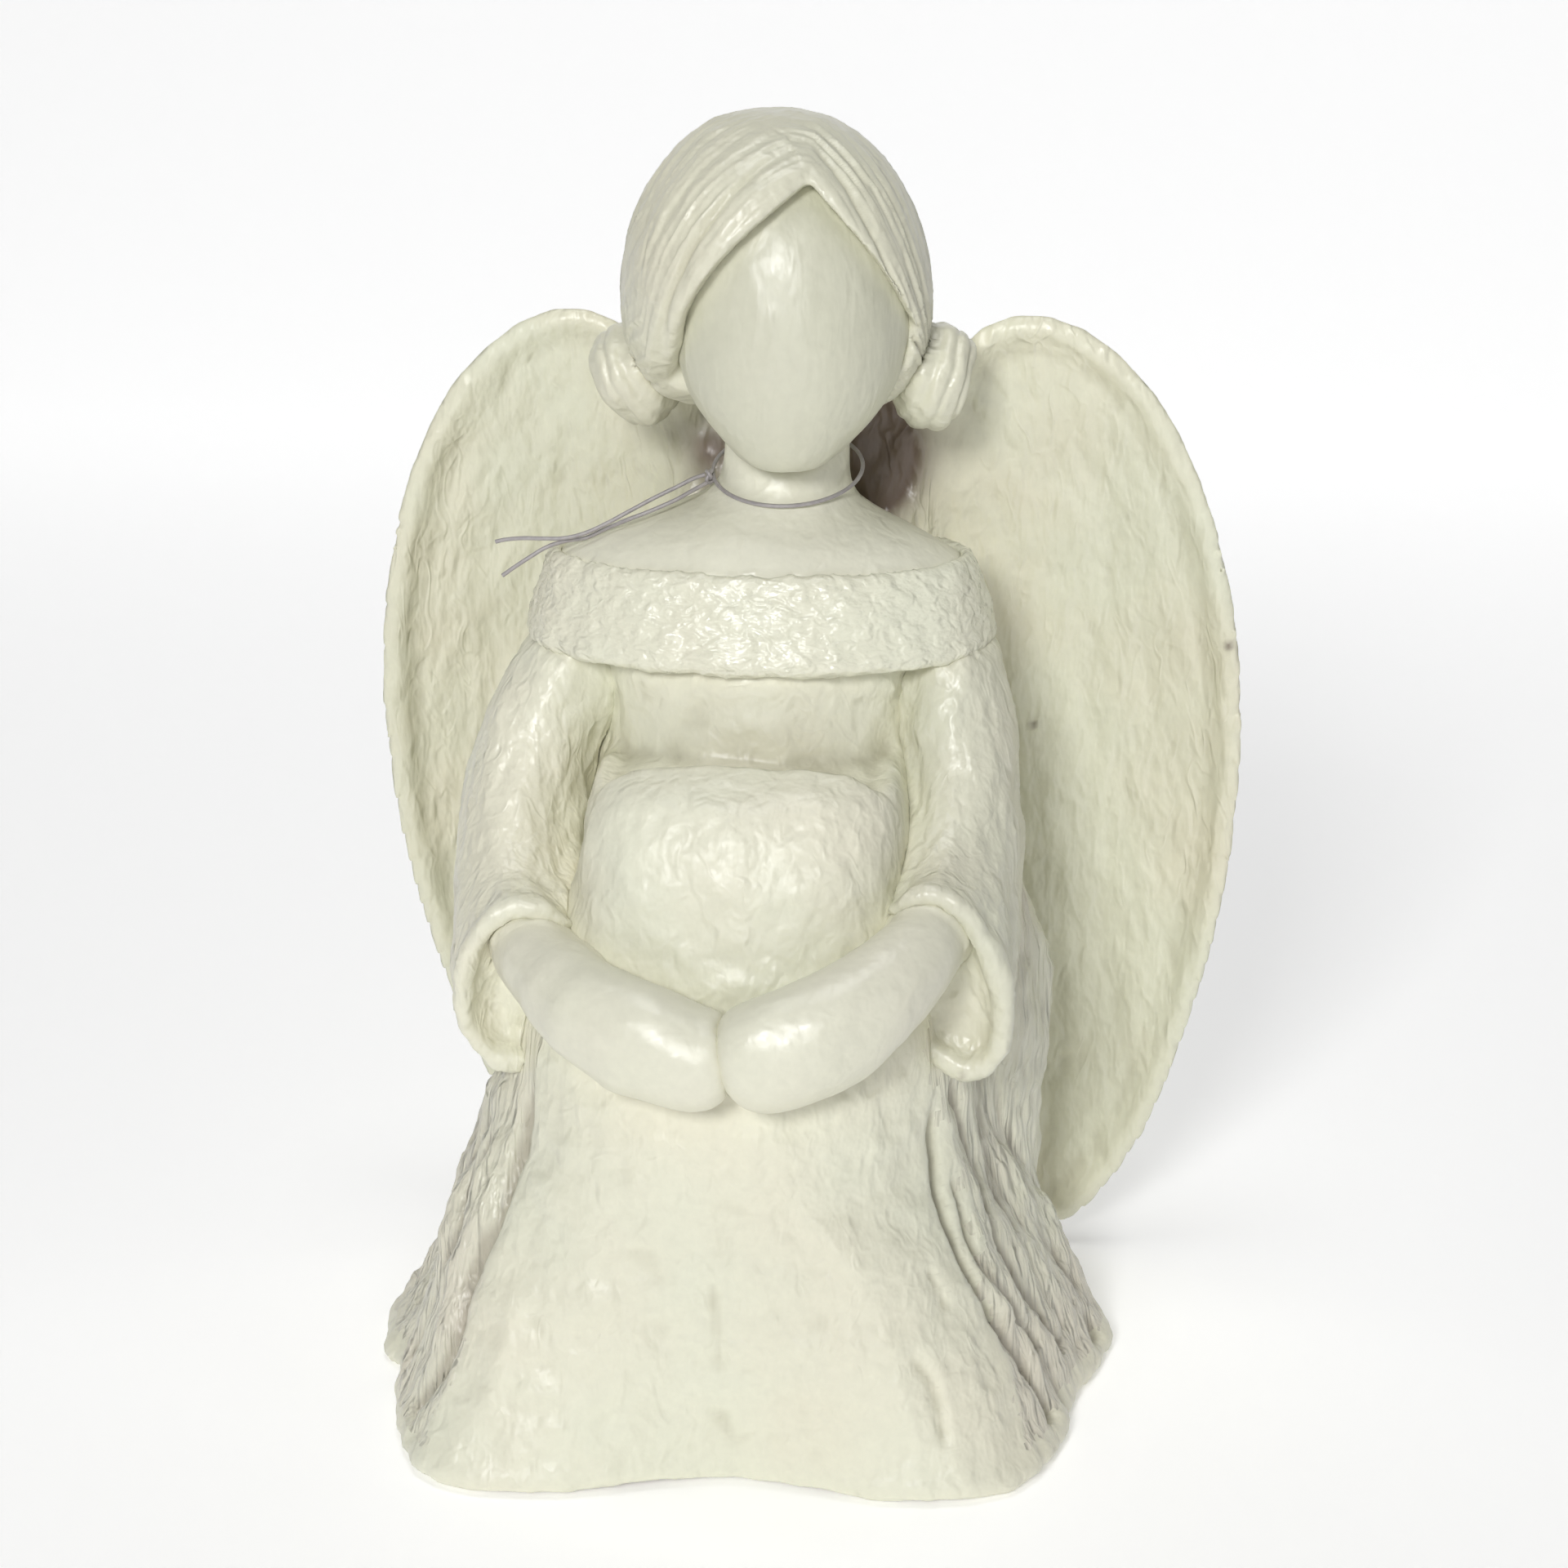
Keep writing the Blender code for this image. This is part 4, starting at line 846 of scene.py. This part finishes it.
# %% Sleeves and forearms
CUFFS = {"left": ((36.4, -47, 95), (-0.1, -1, -0.2)), "right": ((-45, -47, 91), (0.2, -1, -0.2))}
SLEEVE_FINISH = {"left": SHADED_SLEEVE_LACQUER, "right": SLEEVE_LACQUER}
for name, (centre, facing) in CUFFS.items():
    sleeve = skin(f"sleeve_{name}_surface", f"sleeve_{name}", voxel=0.68, rounds=10)
    spots = points_of(sleeve)
    axis = np.array(facing) / np.linalg.norm(facing)
    inward = -((spots - np.array(centre)) @ axis)
    roll = 0.5 * np.exp(-((inward - 1.2) / 1.6) ** 2) - 0.4 * np.exp(-((inward - 5.5) / 2.0) ** 2)
    push(sleeve, roll + 0.5 * ripple(spots, 18, 41) + 0.2 * ripple(spots, 7, 42) + 0.35)
    weld(sleeve, gown, reach=3.2, overlap=0.3)
    weld(sleeve, collar)
    relax(sleeve, 1)
    finish_casting(sleeve, f"sleeve_{name}", SLEEVE_FINISH[name], [
        (1.0, 2.2, 7.0, 0.4, 0.2, (30, 0, 0), 43), (1.0, 6, 11, 0.4, 0, (20, 0, 0), 44)])

    forearm = skin(f"forearm_{name}_surface", f"forearm_{name}", voxel=0.62, rounds=14)
    spots = points_of(forearm)
    push(forearm, 0.3 * ripple(spots, 14, 51) + 0.4)
    weld(forearm, gown, reach=2.4)
    weld(forearm, sleeve, reach=1.8)
    finish_casting(forearm, f"forearm_{name}", SKIN_LACQUER, [(1.0, 3.0, 7.0, 0.16, 0.06, (0, 70, 0), 53)])

# %% [markdown]
# ## Wings
# Each wing is a broad shallow dish with a rolled rim, stroked from the rim inwards with a flat tool. The
# roots meet behind the neck, where the spray hardly reached and the brown resin shows through; the same
# brown there is also painted shade from the head.

# %% Wings
RIM_BAND = 2.6              # middle of the rolled rim, in from the edge
TROUGH_BAND = 7.5           # and of the shallow trough inside it
WING_LEAN = {"left": 14, "right": -14}      # the flat tool's strokes lean out, in degrees
ROOT_RIDGES = {"right": [(-28, 24, 191), (-26.5, 25, 185.4), (-24.9, 25.9, 178.6), (-25, 26, 172)],
               "left": [(22, 23, 190), (24.5, 24, 183), (24, 25, 175), (20, 26, 168)]}
for name, lean in WING_LEAN.items():
    wing = skin(f"wing_{name}_surface", f"wing_{name}", voxel=0.92, rounds=5)
    turned = np.abs(normals_of(wing)[:, 1])
    relax(wing, 26, hold=1 - 0.97 * step(turned, 0.45, 0.85))
    spots = points_of(wing)
    turned = normals_of(wing)[:, 1]
    rim_spots = spots[np.abs(turned) < 0.35]
    tree = KDTree(len(rim_spots))
    for i, spot in enumerate(rim_spots):
        tree.insert(spot, i)
    tree.balance()
    gap = np.array([tree.find(spot)[2] for spot in spots])
    front = step(-turned, 0.3, 0.7)
    lip = 1.0 * np.exp(-((gap - RIM_BAND) / 1.9) ** 2) - 0.45 * np.exp(-((gap - TROUGH_BAND) / 2.2) ** 2)
    root = pressed(spots, ROOT_RIDGES[name], 1.0, -1.1, 0.1, 0.1)
    push(wing, front * (lip + root) + step(gap, 2, 6) * 0.4 * ripple(spots, 24, 61) + 0.1)
    worked = 0.35 + 0.65 * step(gap, 1, 6)
    finish_casting(wing, f"wing_{name}", WING_LACQUER, [
        (worked, 2.3, 7.0, 0.5, 0.2, (0, lean, 0), 63), (worked, 6, 11, 0.5, 0, (0, 0, 0), 64)])

# %% [markdown]
# ## The nylon thread
# A length of grey nylon thread is tied round the neck: one loop, one knot, and two short ends that hang
# over the shoulder. A thread is a curve with a round bevel.

# %% Nylon thread
THREAD_R = 0.4
THREAD_ENDS = {
    "thread_end_upper": ("thread_tail_upper", [
        (-14.8, -3.9, 181.2), (-17, -4.6, 180.5), (-20, -5.4, 179), (-24.5, -6.2, 176.8),
        (-29, -7.2, 174.4), (-33.5, -8.2, 172), (-37.5, -8.8, 170.2), (-41.5, -9, 169.2),
        (-45.5, -8.9, 169), (-49.5, -8.6, 168.9), (-53, -8.4, 168.5), (-55, -8.4, 168)]),
    "thread_end_lower": ("thread_tail_lower", [
        (-14.4, -4.3, 179.7), (-17, -5.8, 178.4), (-20, -7, 176.8), (-24.5, -7.8, 174.8),
        (-29, -8.2, 173), (-33.5, -7.2, 170.9), (-37.5, -7.2, 169), (-41.5, -8, 168.4),
        (-45, -9, 167.3), (-48.5, -9.8, 165.2), (-51.5, -10.2, 163.2), (-53.4, -10.3, 161.8)]),
}
KNOT_AT = (-14.0, -3.1, 180.9)
KNOT_TURN = math.radians(196)
KNOT_SIZE = 0.45            # a trefoil drawn this many millimetres to its unit
LOOP_STEPS = 72
KNOT_STEPS = 48


def thread_curve(name, points, closed=False):
    """A round thread through the points, as a smooth curve object."""
    data = bpy.data.curves.new(name, "CURVE")
    data.dimensions = "3D"
    data.bevel_depth = THREAD_R * MM
    data.bevel_resolution = 3
    data.use_fill_caps = True
    spline = data.splines.new("POLY")
    spline.points.add(len(points) - 1)
    for made, point in zip(spline.points, points):
        made.co = (*place(point), 1)
    spline.use_cyclic_u = closed
    obj = bpy.data.objects.new(name, data)
    scene.collection.objects.link(obj)
    obj.data.materials.append(NYLON)
    return obj


NYLON, tree, shader = new_material("nylon_thread")
spot = add(tree, COORDS).outputs["Object"]
streak = add(tree, NOISE, Vector=spot, Scale=per(1.2), Detail=2.0)
tint = add(tree, MIX, COLOUR, i0=streak.outputs["Fac"], i6=linear("#8f8a8c"), i7=linear("#b4afae"))
tree.links.new(tint.outputs[2], shader.inputs["Base Color"])
shader.inputs["Roughness"].default_value = 0.38
shader.inputs["IOR"].default_value = 1.53

turns = [KNOT_TURN + 2 * math.pi * i / LOOP_STEPS for i in range(LOOP_STEPS)]
loop = thread_curve("thread_loop_round", [
    (LOOP_CENTRE[0] + LOOP_RADII[0] * math.cos(a), LOOP_CENTRE[1] + LOOP_RADII[1] * math.sin(a),
     LOOP_Z + LOOP_TILT * math.sin(a)) for a in turns], closed=True)
trefoil = [(math.sin(t) + 2 * math.sin(2 * t), math.cos(t) - 2 * math.cos(2 * t), -math.sin(3 * t))
           for t in (2 * math.pi * i / KNOT_STEPS for i in range(KNOT_STEPS))]
knot = thread_curve("thread_knot_tied", [tuple(np.array(KNOT_AT) + KNOT_SIZE * np.array((p[2], p[0], p[1])))
                                         for p in trefoil], closed=True)
for piece, node in ((loop, "thread_loop"), (knot, "thread_knot")):
    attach(piece, "root")
    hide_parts(node)

for name, (node, route) in THREAD_ENDS.items():
    run = smooth_line(route)
    end = thread_curve(name, run)
    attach(end, "root")
    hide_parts(node)

# %% [markdown]
# ## Under the figurine
# A pressed fibre board closes the hollow casting, four felt pads keep the resin off the shelf, and steel
# pins hold the castings together inside. They keep the frame's shapes and only need their finish.

# %% Steel, board and felt
def plain_finish(name, dark, light, grain_mm, roughness, metallic, bump):
    """A two-tone grainy finish: wire drawn steel, pressed board or felt."""
    made, tree, shader = new_material(name)
    spot = add(tree, COORDS).outputs["Object"]
    grain = add(tree, NOISE, Vector=spot, Scale=per(grain_mm), Detail=5.0, Roughness=0.65)
    tint = add(tree, MIX, COLOUR, i0=grain.outputs["Fac"], i6=linear(dark), i7=linear(light))
    tree.links.new(tint.outputs[2], shader.inputs["Base Color"])
    rough = add(tree, RANGE, Value=grain.outputs["Fac"], To_Min=roughness - 0.08, To_Max=roughness + 0.05)
    tree.links.new(rough.outputs[0], shader.inputs["Roughness"])
    raised = add(tree, "ShaderNodeBump", Strength=bump, Distance=0.3 * MM, Height=grain.outputs["Fac"])
    tree.links.new(raised.outputs[0], shader.inputs["Normal"])
    shader.inputs["Metallic"].default_value = metallic
    return made


STEEL = plain_finish("drawn_steel_wire", "#8d8e90", "#c2c3c5", 0.6, 0.35, 1.0, 0.1)
BOARD = plain_finish("pressed_fibreboard", "#5b4630", "#8a6d4b", 1.1, 0.82, 0.0, 0.5)
FELT = plain_finish("wool_felt", "#3a3a37", "#5c5b57", 0.8, 0.93, 0.0, 0.9)
FELT.node_tree.nodes["Principled BSDF"].inputs["Sheen Weight"].default_value = 0.5
for name, node in nodes.items():
    for word, finish in (("_pin", STEEL), ("base_plate", BOARD), ("felt_pad", FELT)):
        if word in name:
            node.data.materials.clear()
            node.data.materials.append(finish)
            print(name, "is", finish.name)

# %% [markdown]
# ## Studio
# A white sweep and large soft lamps near the camera: broad light from in front makes the ivory glow and
# leaves the edges that turn away a little darker, which draws the forms.

# %% Sweep and lamps
SWEEP_FRONT = -1.2
SWEEP_BACK = 0.9
SWEEP_RADIUS = 0.8
SWEEP_WIDTH = 2.4
SWEEP_TOP = 2.0
SWEEP_STEPS = 16
GLOW_FROM_Y, GLOW_TO_Y = -0.1, 1.0      # the paper glows as painted light, brighter towards the back
GLOW_NEAR, GLOW_FAR = 0.235, 0.57
LAMP_AIM = Vector((0, 0, 0.12))
LAMPS = {                               # place in metres, size in metres and power in watts
    "key": ((-0.16, -1.25, 0.72), 0.3, 10.8),
    "front fill": ((0.1, -1.3, 0.15), 0.5, 1.2),
    "right": ((1.1, -0.7, 0.5), 0.5, 0.9),
    "top": ((0.0, -0.15, 1.3), 0.5, 4.2),
}

profile = [(SWEEP_FRONT, 0.0), (SWEEP_BACK, 0.0)]
for i in range(1, SWEEP_STEPS + 1):
    turn = math.pi / 2 * i / SWEEP_STEPS
    profile.append((SWEEP_BACK + SWEEP_RADIUS * math.sin(turn), SWEEP_RADIUS * (1 - math.cos(turn))))
profile.append((SWEEP_BACK + SWEEP_RADIUS, SWEEP_TOP))
sweep_mesh = bpy.data.meshes.new("sweep")
rows = [(x, y, z) for y, z in profile for x in (-SWEEP_WIDTH, SWEEP_WIDTH)]
sweep_mesh.from_pydata(rows, [], [(i, i + 1, i + 3, i + 2) for i in range(0, len(rows) - 2, 2)])
sweep_mesh.shade_smooth()
sweep = bpy.data.objects.new("sweep", sweep_mesh)
scene.collection.objects.link(sweep)
PAPER, tree, shader = new_material("white_paper_sweep")
shader.inputs["Base Color"].default_value = linear("#fbfbfb")
shader.inputs["Roughness"].default_value = 0.9
shader.inputs["Emission Color"].default_value = linear("#ffffff")
depth = add(tree, "ShaderNodeSeparateXYZ", Vector=add(tree, COORDS).outputs["Object"])
glow = add(tree, RANGE, Value=depth.outputs["Y"], From_Min=GLOW_FROM_Y, From_Max=GLOW_TO_Y,
           To_Min=GLOW_NEAR, To_Max=GLOW_FAR)
tree.links.new(glow.outputs[0], shader.inputs["Emission Strength"])
sweep_mesh.materials.append(PAPER)
sweep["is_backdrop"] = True

for name, (spot, size, power) in LAMPS.items():
    data = bpy.data.lights.new(name, "AREA")
    data.shape = "SQUARE"
    data.size = size
    data.energy = power
    lamp = bpy.data.objects.new(name, data)
    scene.collection.objects.link(lamp)
    lamp.location = spot
    lamp.rotation_euler = (LAMP_AIM - Vector(spot)).to_track_quat("-Z", "Y").to_euler()
world = bpy.data.worlds.new("studio")
scene.world = world
world.use_nodes = True
world.node_tree.nodes["Background"].inputs["Color"].default_value = linear("#f4f5f6")
world.node_tree.nodes["Background"].inputs["Strength"].default_value = 0.03

# %% Both boxes
visual_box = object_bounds()
for name, (low, high) in (("frame", cad_box), ("dressed", visual_box)):
    print(name, "box in metres:", [round(b - a, 4) for a, b in zip(low, high)])
